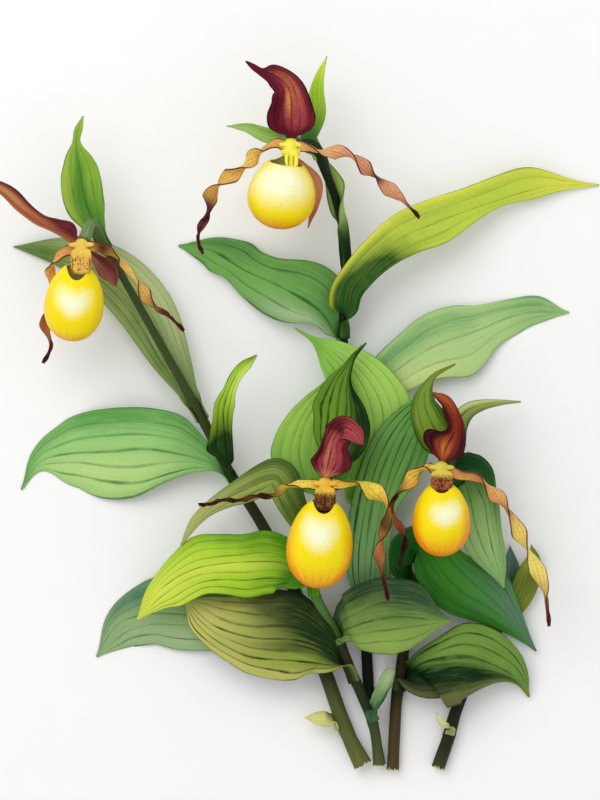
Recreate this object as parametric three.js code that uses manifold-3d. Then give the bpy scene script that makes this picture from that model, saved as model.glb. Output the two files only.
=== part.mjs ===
// Yellow lady's slipper orchid (Cypripedium parviflorum): one clump, cut at its base and laid on a surface.
// Millimetres, +Z up. +Y points along the shoots to their tips and +X across them, so the plant lies in the
// XY plane with its back on the surface. Five leafy shoots stand side by side and four of them flower.
import * as THREE from 'three';
import { mergeVertices } from 'three/addons/utils/BufferGeometryUtils.js';
import Module from 'manifold-3d';

const wasm = await Module();
wasm.setup();

// ---- driving dimensions ------------------------------------------------------------------------------
const PLAN_SHIFT = [6, 7];         // moves the middle of the plan onto the origin
const LEAF_THICK = 0.7;
const PETAL_THICK = 0.7;
const POUCH_WALL = 0.9;
const CLEAR = 0.3;                  // gap kept between neighbours that touch
const FACET_SLACK = 0.1;            // added to it where a neighbour is a faceted ball
const RECEPTACLE_R = 3.6;           // round end of the ovary that carries the flower's parts
const SHEATH_SLACK = 0.3;           // a sheath stands this much further off its stem
const SHEATH_WRAP = { leaf: 2.2, small: 1.4 };   // half angle of a base round its stem, in radians
const TIP_HALF = 0.45;              // half width left at a blade's tip
const PLEAT = { leaf: 0.45, small: 0.315, sepal: 0.25 };   // height of a blade's lengthwise ridges
const LEAF_STEPS = { leaf: [11, 6], small: [8, 4] };       // faces along and across a blade

// A leafy shoot's axis: points from the cut base upwards, with [share of length, radius] stations.
const STEMS = {
  left: {
    points: [[31.7, -183.5, 4.9], [25, -170, 5], [20, -157.5, 5.5], [13, -137.5, 7], [-5, -90, 10],
      [-19, -62.5, 12], [-36, -35, 15], [-50, -7.5, 19], [-62.5, 15, 24], [-85, 55, 32], [-99, 80, 38],
      [-104, 88, 44]],
    radii: [[0, 4.7], [0.05, 3.6], [0.2, 3.5], [0.5, 2.6], [0.86, 1.9], [0.93, 2.3], [1, 3]],
    flower: 'left', tint: 'stem_dark',
  },
  front: {
    points: [[40, -183.5, 5], [36.5, -162, 9.3], [30.5, -147, 10.5], [25, -134, 11.5], [18.5, -118, 14],
      [7, -95, 20], [8, -72, 25], [13, -45, 29], [17, -29, 35], [17.5, -27, 42]],
    radii: [[0, 3.3], [0.05, 2.6], [0.3, 2.5], [0.75, 2.3], [0.88, 2.2], [1, 3]],
    flower: 'front', tint: 'stem_green',
  },
  right: {
    points: [[46.5, -186, 3.3], [47.5, -165, 3.8], [48.5, -150, 4.4], [51, -132.5, 5.2], [56, -100, 8],
      [62.5, -80, 14], [70, -50, 25], [76, -29, 33], [77, -23, 42]],
    radii: [[0, 3.2], [0.05, 2.9], [0.4, 2.8], [0.75, 2.4], [0.88, 2.2], [1, 3]],
    flower: 'right', tint: 'stem_dark',
  },
  top: {
    points: [[35.5, -158, 3.4], [34.5, -146, 2.9], [33.5, -128, 3.1], [32, -105, 4], [29, -70, 5],
      [27.5, -35, 6],
      [24, 0, 7.5], [21.5, 32, 11], [22.8, 60, 16], [22.3, 78, 21], [19, 96, 27], [14, 111, 33],
      [6.5, 127, 40]],
    radii: [[0, 3.3], [0.05, 2.8], [0.4, 2.6], [0.85, 2], [0.93, 2.2], [1, 3]],
    flower: 'top', tint: 'stem_dark',
  },
  short: {
    points: [[69, -185, 3.5], [74, -171, 3.5], [78, -157, 3.6], [85, -140, 3.6], [93, -125, 4.2],
      [99, -112, 4.8]],
    radii: [[0, 3.4], [0.4, 3], [1, 1.6]],
    tint: 'stem_brown',
  },
};

// A leaf: `at` is the place on its stem where its sheath starts and `clasp` the side of the stem that it
// clasps, in degrees: 90 left, 0 behind, -90 right, 180 in front. `edges` holds the half widths left and
// right of the midrib at each tenth of its length, or `half` the two greatest half widths of a plainer
// outline. Positive curl lifts the margins, negative curl lowers them. `roll` turns the blade at middle
// and tip.
const LEAVES = [
  // left shoot
  { name: 'scale_left', stem: 'left', at: [19.5, -165], clasp: 90, sheath: 5, wrap: 0.9,
    path: [[12.5, -160, 9], [2.2, -159.3, 8]],
    half: [4, 4], widest: 0.5, curl: 20, roll: [20, 10], small: true, tint: 'leaf_yellow' },
  { name: 'leaf_left_1', stem: 'left', at: [9, -127], clasp: 90, sheath: 10,
    path: [[-8, -112, 9], [-25, -110, 8], [-48, -108, 7], [-75, -107, 3], [-92, -113, 0.4],
      [-102, -129, 0.4]],
    edges: [[3, 5, 9, 14, 17, 18, 18.5, 16, 15, 12, 0.5],
      [3, 6, 12, 17, 21, 22, 21, 17, 11, 4, 0.5]],
    curl: -12, roll: [0, 0], wave: 1.5, waves: 1.5, tint: 'leaf_teal' },
  { name: 'leaf_left_2', stem: 'left', at: [-30, -45], clasp: 60, sheath: 12, wrap: 1.1,
    path: [[-49, -30, 11.5], [-73, -25, 13], [-95, -25, 8], [-115, -26, 2.5], [-130, -31, 0.4],
      [-140, -45, 0.4]],
    edges: [[3, 3, 7, 14, 21, 25, 25, 21, 14, 3, 0.4],
      [3, 5, 10, 19, 21, 21.5, 21, 18.5, 12, 4.5, 0.4]],
    curl: -20, roll: [0, 0], wave: 1.2, waves: 1.5, tint: 'leaf_mid' },
  { name: 'leaf_left_3', stem: 'left', at: [-33, -43], clasp: 180, sheath: 7, wrap: 0.8,
    path: [[-36.5, -22, 24], [-38.5, -6, 30], [-36, 4, 34], [-31, 13.5, 35], [-21.5, 22.5, 36]],
    edges: [[3, 3.5, 5, 12, 9, 5.8, 5, 3, 3, 2.8, 0.4],
      [3, 3, 3, 3, 3.8, 5, 5.5, 3.8, 3.2, 2.8, 0.4]],
    curl: 30, roll: [20, 0], tint: 'leaf_bright' },
  { name: 'leaf_left_4', stem: 'left', at: [-49, -10], clasp: 0, sheath: 8,
    path: [[-64, 20, 15], [-78, 47, 14], [-96, 65, 11], [-118, 74, 6], [-144, 77, 0.4]],
    half: [15, 14], widest: 0.5, curl: -15, roll: [0, 0], wave: 1.2, waves: 1, tint: 'leaf_grey' },
  { name: 'bract_left', stem: 'left', at: [-96, 76], clasp: 0, sheath: 5,
    path: [[-108, 100, 32], [-110, 115, 33], [-111.5, 125, 33], [-111.5, 132, 32], [-108.5, 142, 30]],
    edges: [[2, 4, 6.5, 9.5, 10.5, 10.5, 9.5, 6.5, 2.2, 2, 0.4],
      [2, 4, 6.5, 9.5, 10.5, 10.5, 9.5, 6.5, 2.2, 2, 0.4]],
    curl: 25, roll: [0, 0], small: true, tint: 'leaf_mid' },
  // front shoot
  { name: 'scale_front', stem: 'front', at: [36.8, -161], clasp: -150, sheath: 4, wrap: 1.2,
    path: [[40, -150, 14.5], [43.5, -142, 15], [46.3, -134.5, 14]],
    edges: [[3, 4.5, 4.5, 4.5, 4.8, 4.8, 4.6, 4.4, 4.2, 3.6, 2.2],
      [3, 4.5, 5, 5, 5, 5, 4.8, 4.6, 4.4, 3.6, 2.2]],
    curl: 50, roll: [-60, -20], small: true, tint: 'leaf_light' },
  { name: 'leaf_front_1', stem: 'front', at: [28, -141], clasp: 90, sheath: 10,
    path: [[10, -124, 20], [-3, -120, 22], [-25, -119, 21], [-43, -113, 17], [-57.5, -100, 12]],
    edges: [[3, 4, 13, 19, 21.5, 21, 18.5, 14.5, 11, 8, 1],
      [3, 5, 10, 17, 24, 25, 24, 22, 19, 13, 1]],
    curl: -22, roll: [0, 0], wave: 1.2, waves: 1.5, tint: 'leaf_olive' },
  { name: 'leaf_front_2', stem: 'front', at: [20, -122], clasp: -90, sheath: 4,
    path: [[27, -114, 23], [40, -109.5, 26], [55, -108.5, 26], [67, -109.5, 24], [76, -110.5, 22]],
    edges: [[3, 12, 17, 19, 20, 20.5, 19.5, 18, 13, 5, 0.5],
      [3, 5, 12, 16, 18, 19, 18, 16, 11.5, 5, 0.5]],
    curl: -15, roll: [0, 0], wave: 1, waves: 1.5, tint: 'leaf_deep' },
  { name: 'leaf_front_3', stem: 'front', at: [8, -97], clasp: 90, sheath: 7,
    path: [[-7, -82, 28], [-30, -81, 29], [-54, -85, 27], [-70, -95, 23], [-81.5, -110, 17]],
    edges: [[3, 9, 15, 17, 18.5, 16, 14, 14, 13, 7, 0.5],
      [3, 7, 12, 15.5, 14, 15, 16, 11, 7, 4, 0.5]],
    curl: -18, roll: [0, 0], wave: 1.8, waves: 2, tint: 'leaf_bright' },
  { name: 'leaf_front_4', stem: 'front', at: [7.5, -78], clasp: 60, sheath: 8,
    path: [[-3, -49, 33], [-12, -36, 35], [-34, -44, 34], [-51, -58, 29], [-59.5, -72.5, 24]],
    edges: [[2, 6, 9, 10, 10, 11.5, 11, 8, 5, 3, 0.5],
      [2, 3, 4, 6, 8, 5, 3, 2, 2, 2, 0.5]],
    curl: -25, roll: [0, 0], wave: 0.8, waves: 1, tint: 'leaf_olive' },
  { name: 'leaf_front_5', stem: 'front', at: [10.5, -55], clasp: 0, sheath: 6,
    path: [[10, -34, 23], [11, -15, 22], [16, 2, 23], [23, 15, 25], [31, 27.5, 26]],
    edges: [[3, 10, 19, 24.5, 23, 18.5, 13, 7.5, 4, 1.5, 0.4],
      [3, 10, 17, 20, 19, 16, 11, 6, 3, 1.2, 0.4]],
    curl: 10, roll: [0, 0], wave: 1.2, waves: 1.5, tint: 'leaf_light' },
  { name: 'bract_front', stem: 'front', at: [15, -38], clasp: 0, sheath: 5,
    path: [[20, -21, 31], [23, -5, 32], [24, 10, 33], [27, 21, 33], [33, 28.5, 32]],
    edges: [[2, 6, 12, 15, 16, 17.5, 15, 10, 4, 1.5, 0.4],
      [2, 7, 12, 14, 13.5, 10, 5, 1.5, 1, 0.8, 0.4]],
    curl: 25, roll: [0, 0], small: true, tint: 'leaf_deep' },
  // right shoot
  { name: 'leaf_right_1', stem: 'right', at: [49, -146], clasp: -90, sheath: 8,
    path: [[60, -132, 15], [70, -129, 20], [84, -128, 21], [98, -133, 17], [109, -140, 9], [115, -149, 2]],
    edges: [[3, 5, 5, 8, 12, 17, 17.5, 15.5, 11.5, 5, 0.5],
      [3, 14, 24, 26, 26, 25, 22, 13, 6, 2, 0.5]],
    curl: -28, roll: [-6, 0], wave: 1.5, waves: 1.5, tint: 'leaf_deep' },
  { name: 'leaf_right_2', stem: 'right', at: [57, -97], clasp: 90, sheath: 5, wrap: 1.2,
    path: [[49.5, -84, 16.5], [51, -72, 18.5], [59, -67.5, 20.5], [68, -71.5, 21], [83, -88, 17.3],
      [97, -101, 11.8], [108, -113, 8.2], [118.5, -126, 4]],
    edges: [[3, 4, 5, 5, 5, 7, 12, 14, 9, 4, 0.5],
      [3, 7, 9.5, 9.5, 13, 19, 20, 16, 10, 4.5, 0.5]],
    curl: -12, roll: [0, 0], wave: 1.5, waves: 1.5, tint: 'leaf_vivid' },
  { name: 'leaf_right_3', stem: 'right', at: [66.8, -65], clasp: -75, sheath: 6,
    path: [[77, -46, 28], [84, -37, 32], [91, -48, 31], [95, -68, 26], [102, -94, 17]],
    edges: [[2.5, 4, 7, 10.5, 11, 8, 7, 6.5, 6, 4, 0.5],
      [2.5, 5, 9, 13, 16, 18, 18, 15, 12, 6, 0.5]],
    curl: -20, roll: [0, 0], wave: 1, waves: 1, tint: 'leaf_vivid' },
  { name: 'leaf_right_4', stem: 'right', at: [73.5, -39.5], clasp: 0, sheath: 5,
    path: [[77.5, -13, 27], [83, -5.5, 27], [92, -2, 26], [110.5, -0.8, 21]],
    edges: [[2, 3, 4, 4.2, 4, 3.6, 3.2, 2.4, 1.6, 1, 0.4],
      [2, 4, 6, 7, 6.5, 5.5, 4.2, 3, 2, 1, 0.4]],
    curl: 10, roll: [0, 0], small: true, tint: 'leaf_pale' },
  { name: 'bract_right', stem: 'right', at: [75.3, -31], clasp: 45, sheath: 4,
    path: [[66, -13, 42], [62, 0, 43], [66, 11, 43], [77.5, 18, 42]],
    edges: [[2, 5, 9, 10.5, 10, 8.5, 6, 3, 1.4, 0.9, 0.4],
      [2, 5, 9, 10, 9.5, 8, 5.5, 3, 1.4, 0.9, 0.4]],
    curl: 35, roll: [0, 0], small: true, tint: 'leaf_mid' },
  // top shoot
  { name: 'leaf_top_1', stem: 'top', at: [33, -115], clasp: -45, sheath: 8,
    path: [[36, -80, 13], [40, -56, 17], [46, -33, 19], [56, -12, 21], [68, 4, 23]],
    edges: [[3, 6, 11, 13.5, 14.5, 15, 15, 14.5, 12.5, 8, 0.5],
      [3, 6, 10, 10, 8, 8, 13, 15.5, 13.5, 8, 0.5]],
    curl: -12, roll: [0, 0], wave: 1.2, waves: 1.5, tint: 'leaf_mid' },
  { name: 'leaf_top_2', stem: 'top', at: [28.5, -60], clasp: 180, sheath: 5,
    path: [[33, -35, 13.5], [37, -15, 15], [33, 4, 17.5], [21, 20, 20], [-2.5, 36, 19]],
    edges: [[3, 7, 12, 15, 17, 18, 17, 14, 10, 2, 0.4],
      [3, 7, 13, 16, 18, 20, 16.5, 12, 7, 2, 0.4]],
    curl: -10, roll: [0, 0], wave: 1.2, waves: 1.5, tint: 'leaf_light' },
  { name: 'leaf_top_3', stem: 'top', at: [26.8, -24], clasp: -90, sheath: 6,
    path: [[40, 8, 9], [64, 26, 9], [88, 34, 5], [111, 43, 0.4], [135, 44, 0.4]],
    edges: [[3, 5, 8, 11, 13, 16, 16, 12, 9, 8, 0.5],
      [3, 5, 9, 13, 15, 18, 20, 11, 9, 5, 0.5]],
    curl: -8, roll: [0, 0], wave: 1.2, waves: 1.5, tint: 'leaf_pale' },
  { name: 'leaf_top_4', stem: 'top', at: [21.8, 24], clasp: 90, sheath: 7, wrap: 1.4,
    path: [[9, 45, 14], [-8, 56, 12], [-27, 65, 7], [-44, 75, 3], [-61, 77.5, 0.4]],
    edges: [[3, 4, 7, 13, 16, 16, 13, 9, 10, 6, 0.5],
      [3, 10, 17, 20, 18, 13, 12, 13, 9, 4, 0.5]],
    curl: -14, roll: [0, 0], wave: 2.2, waves: 1.5, tint: 'leaf_mid' },
  { name: 'leaf_top_5', stem: 'top', at: [21.7, 31], clasp: -140, sheath: 8, wrap: 1.3,
    path: [[24.5, 54, 22], [29, 62, 25], [38, 72, 26], [52, 82, 21], [70, 90, 17], [97, 99, 11],
      [125, 107, 5], [150, 108, 0.4]],
    edges: [[3, 9, 8.5, 9.5, 12, 12, 11.5, 12.5, 12, 4, 0.5],
      [3, 6, 8, 9.5, 11, 12, 7, 3, 4.5, 2.5, 0.5]],
    curl: 15, roll: [-10, 0], wave: 1.5, waves: 1.5, tint: 'leaf_lime' },
  { name: 'leaf_top_6', stem: 'top', at: [22.5, 68], clasp: -110, sheath: 22, wrap: 2.2,
    path: [[22, 94, 27], [17, 108, 26], [12, 121, 30]],
    edges: [[2.5, 3, 5, 7.5, 9, 8.5, 6.5, 5, 4, 2, 0.4],
      [2.5, 3, 4.5, 6, 7, 7.5, 7.5, 7, 5, 3, 0.4]],
    curl: 40, roll: [-10, 0], small: true, tint: 'leaf_mid' },
  { name: 'bract_top', stem: 'top', at: [12, 117.5], clasp: -20, sheath: 4, wrap: 1,
    path: [[4.5, 131, 31], [8, 142.5, 33], [8.5, 155, 33], [10.5, 164, 33], [13.5, 172, 32]],
    half: [5, 5], widest: 0.42, curl: 25, roll: [0, 0], small: true, tint: 'leaf_mid' },
  { name: 'leaf_top_7', stem: 'top', at: [9, 121], clasp: 90, sheath: 3, wrap: 0.9,
    path: [[-4, 130, 31], [-17, 132.5, 31], [-26, 136, 31], [-37, 137, 30]],
    half: [4, 4], widest: 0.5, curl: 15, roll: [0, 0], small: true, tint: 'leaf_mid' },
  // short shoot
  { name: 'scale_short', stem: 'short', at: [75, -168], clasp: 180, sheath: 3, wrap: 0.6,
    path: [[71.5, -162, 8.5], [68, -157, 8]],
    half: [1.6, 1.6], widest: 0.5, curl: 20, roll: [0, 0], small: true, tint: 'leaf_yellow' },
  { name: 'leaf_short_1', stem: 'short', at: [95, -121], clasp: -50, sheath: 4,
    path: [[108, -104.5, 4.3], [114, -90, 5], [117, -80, 6], [116, -72.5, 6]],
    half: [6.5, 6.5], widest: 0.62, curl: 15, roll: [0, 0], small: true, tint: 'leaf_olive' },
  { name: 'leaf_short_2', stem: 'short', at: [88, -134], clasp: 0, sheath: 5,
    path: [[97.5, -114, 0.7], [103, -100, 0.9], [106, -86, 1.2], [105.5, -73, 1.2]],
    half: [6.5, 6.5], widest: 0.6, curl: 5, roll: [0, 0], small: true, tint: 'leaf_teal' },
];

// A flower hangs from its receptacle. The pouch has a middle, half sizes (length, width, depth), the
// direction from its toe to its mouth, and the angle from the toe round to its rim, which dips in front.
// `end` is the column's end from the receptacle. Sepals and petals are blades that start at the
// receptacle: `claw` is the share of the length that a narrow base takes, `necks` the shares where a
// twisted petal shows its edge, and `halves` its half widths at each tenth.
const FLOWERS = {
  left: {
    receptacle: [-109, 77, 50],
    pouch: { middle: [-112.5, 49, 50], half: [20, 15, 15], up: [0.1, 1, 0.12], rim: 150, dip: 22 },
    column: { end: [0, -14.2, 9.8], half: 5.2 },
    dorsal: {
      path: [[-116, 82.5, 53], [-122, 86, 54], [-130, 90, 54], [-138, 96, 53], [-147, 104, 51],
        [-162, 112, 48]],
      edges: [[2.6, 2.8, 3, 3, 3.2, 3.5, 3.5, 3.2, 2.6, 1.6, 0.5],
        [2.6, 6.5, 5, 3.5, 3.5, 3.8, 4, 3.8, 3, 1.8, 0.5]],
      claw: 0.02, curl: 30, tint: 'sepal_stripe',
    },
    lower: {
      path: [[-101, 70, 44], [-97, 66, 41], [-94, 62, 39], [-92, 56.5, 38]],
      half: 5, widest: 0.6, curl: 15, tint: 'sepal_maroon',
    },
    petals: [
      { path: [[-118, 73, 47], [-124, 66, 40], [-125, 57, 33], [-124, 48, 30], [-127.5, 36, 32],
        [-125, 27, 31], [-128.5, 18.5, 30]],
        necks: [0.22, 0.42, 0.62, 0.82],
        halves: [2.6, 3.2, 3, 2.6, 2.4, 2.4, 3, 3, 1.8, 1, 0.5] },
      { path: [[-99, 76, 50], [-91, 72, 47], [-84, 62, 44], [-77, 52, 42], [-70, 45.5, 41],
        [-58, 34.5, 38]],
        necks: [0.26, 0.48, 0.72, 0.86],
        halves: [2.6, 4, 3.4, 2.4, 1.6, 2.4, 3.6, 2, 1.2, 0.9, 0.5] },
    ],
  },
  front: {
    receptacle: [12.5, -42, 51],
    pouch: { middle: [10, -71, 56], half: [23, 16.5, 16.5], up: [0.1, 1, 0.05], rim: 152, dip: 20 },
    column: { end: [0, -13.5, 11], half: 5.3 },
    dorsal: {
      path: [[13.5, -34, 55], [15, -27, 58], [17, -19, 60.5], [21.5, -13.5, 63], [27, -16, 65],
        [31, -22, 65.5]],
      edges: [[2.6, 6.5, 9.5, 8, 6.5, 6, 6.5, 6, 5, 4, 1],
        [2.6, 8, 12, 12, 9, 9, 9.5, 8, 6, 4.5, 1]],
      claw: 0.02, curl: 40, tint: 'sepal_maroon',
    },
    lower: {
      path: [[13, -47, 43], [12, -58, 36], [11, -72, 34], [11, -86, 34]],
      half: 7, widest: 0.5, curl: 20, tint: 'sepal_tan',
    },
    petals: [
      { path: [[3, -42.5, 52], [-6, -43.5, 53], [-14, -47, 53], [-22, -48.5, 52], [-35, -50, 51],
        [-50.5, -52, 49]],
        necks: [0.24, 0.38, 0.52, 0.66, 0.8, 0.92],
        halves: [2.6, 3.3, 3.4, 2.2, 1.6, 1.4, 1.3, 1.2, 1, 0.9, 0.5] },
      { path: [[22, -41.5, 52], [30, -41, 51], [37, -46, 49.5], [43, -52.5, 48], [43, -61, 46.5],
        [41, -71, 45], [39.5, -80, 44], [41, -89, 43], [44, -100, 42]],
        necks: [0.16, 0.39, 0.62, 0.82],
        halves: [2.6, 2.6, 3.6, 5, 2.2, 2.8, 3.2, 3.2, 2, 1.2, 0.5] },
    ],
  },
  right: {
    receptacle: [70.5, -34, 54],
    pouch: { middle: [70.5, -59, 56], half: [19, 14.5, 14.5], up: [0, 1, 0.05], rim: 150, dip: 15 },
    column: { end: [0, -11.5, 8.5], half: 5.5 },
    dorsal: {
      path: [[71.5, -29, 56], [73, -24, 57], [76.5, -17, 58], [76.7, -9, 59], [73, -1.5, 59],
        [66, 3.5, 58]],
      edges: [[2.6, 8, 14, 12, 5, 3.7, 4.5, 4.5, 3, 2, 0.5],
        [2.6, 8, 10, 8.5, 6, 4.8, 4, 3.5, 3, 2, 0.5]],
      claw: 0.02, curl: 35, tint: 'sepal_maroon',
    },
    lower: {
      path: [[70, -40, 46], [70, -50, 38], [70, -64, 36], [70, -77, 37]],
      half: 6.5, widest: 0.5, curl: 20, tint: 'sepal_tan',
    },
    petals: [
      { path: [[61.5, -34.5, 55], [54, -41, 55], [48.5, -46, 54], [46, -51, 53.5], [47.5, -58, 52],
        [50.5, -66, 51], [52, -74, 50], [49.5, -83, 48]],
        necks: [0.08, 0.35, 0.55, 0.75, 0.9],
        halves: [2.6, 3.6, 4, 2.4, 1, 1, 1.6, 2, 1.8, 1.2, 0.5] },
      { path: [[79, -37, 54], [89, -38.5, 54], [98, -48, 52], [104, -57, 50], [110, -67, 47],
        [117, -81, 40], [121.5, -95, 35], [124.5, -113, 30]],
        necks: [0.2, 0.35, 0.58, 0.85],
        halves: [2.6, 3.6, 3.4, 4, 2.4, 4.2, 2.6, 4, 3.6, 1.4, 0.5] },
    ],
  },
  top: {
    receptacle: [-4.5, 127, 46],
    pouch: { middle: [-9, 103.5, 46], half: [18.5, 17, 16], up: [0.15, 1, 0.1], rim: 142, dip: 0 },
    column: { end: [0.5, -12, 8.5], half: 3.4 },
    dorsal: {
      path: [[-4.2, 133, 48], [-4.2, 142, 50], [-4.5, 150, 51], [-6.5, 157, 50.5], [-13, 162, 48],
        [-19, 163.5, 46], [-27, 169, 43]],
      edges: [[2.6, 11.5, 13, 12, 10, 8, 7, 5, 2.4, 1.6, 0.5],
        [2.6, 10.5, 12.5, 12, 9.5, 7.5, 6.5, 5, 2.4, 1.6, 0.5]],
      claw: 0.02, curl: 35, tint: 'sepal_maroon',
    },
    lower: {
      path: [[-5.5, 120.5, 36.5], [0, 115, 32.5], [7, 108, 29.5], [7, 98, 27], [4, 86, 26]],
      half: 4.5, widest: 0.4, curl: 15, tint: 'sepal_tan',
    },
    petals: [
      { path: [[-12, 127.5, 48], [-19, 123.5, 47], [-24, 120.5, 47], [-34.5, 112, 44], [-44.5, 102, 41],
        [-46.5, 94, 38], [-50.5, 81, 31], [-48.5, 73, 28]],
        necks: [0.15, 0.3, 0.5, 0.69, 0.87],
        halves: [2.6, 2.4, 4, 3.2, 4.2, 3, 4, 2.4, 1.8, 1.2, 0.5] },
      { path: [[4, 126.5, 49], [9.5, 124.5, 49], [18.5, 123.5, 49], [25.5, 121, 47.5], [32, 116.5, 45],
        [38, 112, 43], [45.5, 104.5, 41], [54, 96.5, 37.5], [59.5, 91, 35]],
        necks: [0.14, 0.37, 0.58, 0.88],
        halves: [2.6, 3.2, 2.8, 4, 2.8, 3.8, 2.4, 3.8, 2.6, 1, 0.5] },
    ],
  },
};

const TINTS = {
  stem_dark: 0x2f4a26, stem_green: 0x6f8f3c, stem_brown: 0x5a4a2e,
  leaf_mid: 0x4f8a3c, leaf_bright: 0x9dbb2c, leaf_yellow: 0xb7b45a, leaf_teal: 0x6d9079, leaf_grey: 0x76915f,
  leaf_light: 0x84b054, leaf_olive: 0x8a8c3f, leaf_deep: 0x3d6b38, leaf_vivid: 0x2f7f2c, leaf_pale: 0x93b184,
  leaf_lime: 0xa5b24a,
  sepal_maroon: 0x7a1f2a, sepal_stripe: 0x9a5a3c, sepal_tan: 0xb98a5c,
  petal: 0xcfa05a, pouch: 0xf4cf2e, column: 0xe8c832,
};
const ROUGHNESS = { stem: 0.7, blade: 0.6, pouch: 0.35, column: 0.45 };

// ---- helpers -----------------------------------------------------------------------------------------
const UP = new THREE.Vector3(0, 0, 1);
const WELD = 1e-4;                  // vertices closer than this are one
const rad = THREE.MathUtils.degToRad;
const lerp = THREE.MathUtils.lerp;
const smoothstep = (x, a, b) => THREE.MathUtils.smoothstep(x, a, b);
const vec = (p) => new THREE.Vector3(...p);

const curveThrough = (points) => new THREE.CatmullRomCurve3(points, false, 'centripetal');

// Value at u of a list of [u, value] stations.
function station(stations, u) {
  const next = stations.findIndex(([at]) => at >= u);
  if (next <= 0) return stations[Math.max(next, 0)][1];
  const [u0, a] = stations[next - 1];
  const [u1, b] = stations[next];
  return lerp(a, b, (u - u0) / (u1 - u0));
}

// A smooth curve through values that stand evenly spaced along u from 0 to 1.
function through(values) {
  const spline = new THREE.SplineCurve(values.map((value, i) => new THREE.Vector2(i, value)));
  return (u) => spline.getPoint(u).y;
}

// Directions across a blade or stem that runs along `along`: to its left in plan, and up out of it.
function across(along, roll) {
  const left = new THREE.Vector3().crossVectors(UP, along).normalize();
  const out = new THREE.Vector3().crossVectors(along, left);
  return {
    side: left.clone().multiplyScalar(Math.cos(roll)).addScaledVector(out, Math.sin(roll)),
    normal: out.clone().multiplyScalar(Math.cos(roll)).addScaledVector(left, -Math.sin(roll)),
  };
}

function geometryFrom(vertices, faces) {
  const geometry = new THREE.BufferGeometry();
  const flat = vertices.flatMap((p) => [p.x, p.y, p.z]);
  geometry.setAttribute('position', new THREE.Float32BufferAttribute(flat, 3));
  geometry.setIndex(faces.flat());
  return geometry;
}

function solidFrom(geometry) {
  const bare = geometry.clone();
  bare.deleteAttribute('normal');
  bare.deleteAttribute('uv');
  const merged = mergeVertices(bare, WELD);
  return new wasm.Manifold(new wasm.Mesh({
    numProp: 3,
    vertProperties: new Float32Array(merged.attributes.position.array),
    triVerts: new Uint32Array(merged.index.array),
  }));
}

// The largest body of a solid, as a geometry.
function largestBody(solid) {
  const bodies = solid.decompose().sort((a, b) => b.volume() - a.volume());
  const mesh = bodies[0].getMesh();
  const geometry = new THREE.BufferGeometry();
  geometry.setAttribute('position', new THREE.BufferAttribute(mesh.vertProperties, 3));
  geometry.setIndex(new THREE.BufferAttribute(mesh.triVerts, 1));
  return geometry;
}

// ---- stems -------------------------------------------------------------------------------------------
const STEM_SIDES = 8;
const STEM_STEPS = 22;
const RIB = 0.06;                   // share of the radius that the ovary's ribs stand out
const OVARY = [0.86, 0.95];         // shares of a flowering stem between which the ribs rise
const PLACE_STEPS = 400;            // places tried along a stem

function stemCurve(stem) {
  const points = stem.points.map(vec);
  if (stem.flower) {
    const receptacle = vec(FLOWERS[stem.flower].receptacle);
    const back = points.at(-1).clone().sub(receptacle).normalize();
    points.push(receptacle.addScaledVector(back, RECEPTACLE_R + CLEAR));
  }
  return curveThrough(points);
}

function stemGeometry(stem, grow = 0) {
  const curve = stemCurve(stem);
  const frames = curve.computeFrenetFrames(STEM_STEPS, false);
  const vertices = [];
  const faces = [];
  for (let i = 0; i <= STEM_STEPS; i++) {
    const u = i / STEM_STEPS;
    const centre = curve.getPointAt(u);
    const ribbed = stem.flower ? RIB * smoothstep(u, ...OVARY) : 0;
    for (let k = 0; k < STEM_SIDES; k++) {
      const angle = (2 * Math.PI * k) / STEM_SIDES;
      const r = (station(stem.radii, u) + grow) * (1 + ribbed * (k % 2 ? -1 : 1));
      vertices.push(centre.clone()
        .addScaledVector(frames.normals[i], r * Math.cos(angle))
        .addScaledVector(frames.binormals[i], r * Math.sin(angle)));
    }
  }
  const at = (i, k) => i * STEM_SIDES + (k % STEM_SIDES);
  for (let i = 0; i < STEM_STEPS; i++) {
    for (let k = 0; k < STEM_SIDES; k++) {
      faces.push([at(i, k), at(i, k + 1), at(i + 1, k + 1)], [at(i, k), at(i + 1, k + 1), at(i + 1, k)]);
    }
  }
  for (let k = 1; k < STEM_SIDES - 1; k++) {
    faces.push([at(0, 0), at(0, k + 1), at(0, k)]);
    faces.push([at(STEM_STEPS, 0), at(STEM_STEPS, k), at(STEM_STEPS, k + 1)]);
  }
  return geometryFrom(vertices, faces);
}

// Share of a stem's length that lies nearest to a place in plan.
function nearestShare(curve, [x, y]) {
  let best = 0;
  let nearest = Infinity;
  for (let i = 0; i <= PLACE_STEPS; i++) {
    const p = curve.getPointAt(i / PLACE_STEPS);
    const distance = Math.hypot(p.x - x, p.y - y);
    if (distance < nearest) [nearest, best] = [distance, i / PLACE_STEPS];
  }
  return best;
}

// ---- blades: leaves, sepals and petals ---------------------------------------------------------------
const OPENS = [0.6, 2.2];           // a blade leaves its base's form between these shares of the base
const FLAT_CURL = 1e-6;             // curl of a blade that is flat across
const SLOPE_STEP = 1e-3;            // step along and across the surface that its normal is taken from

// A half width that swells to its greatest at `widest` and tapers to both ends.
function swelling(half, { widest, full }) {
  const power = Math.log(0.5) / Math.log(widest);
  return (u) => half * Math.sin(Math.PI * Math.pow(u, power)) ** full;
}

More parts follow.
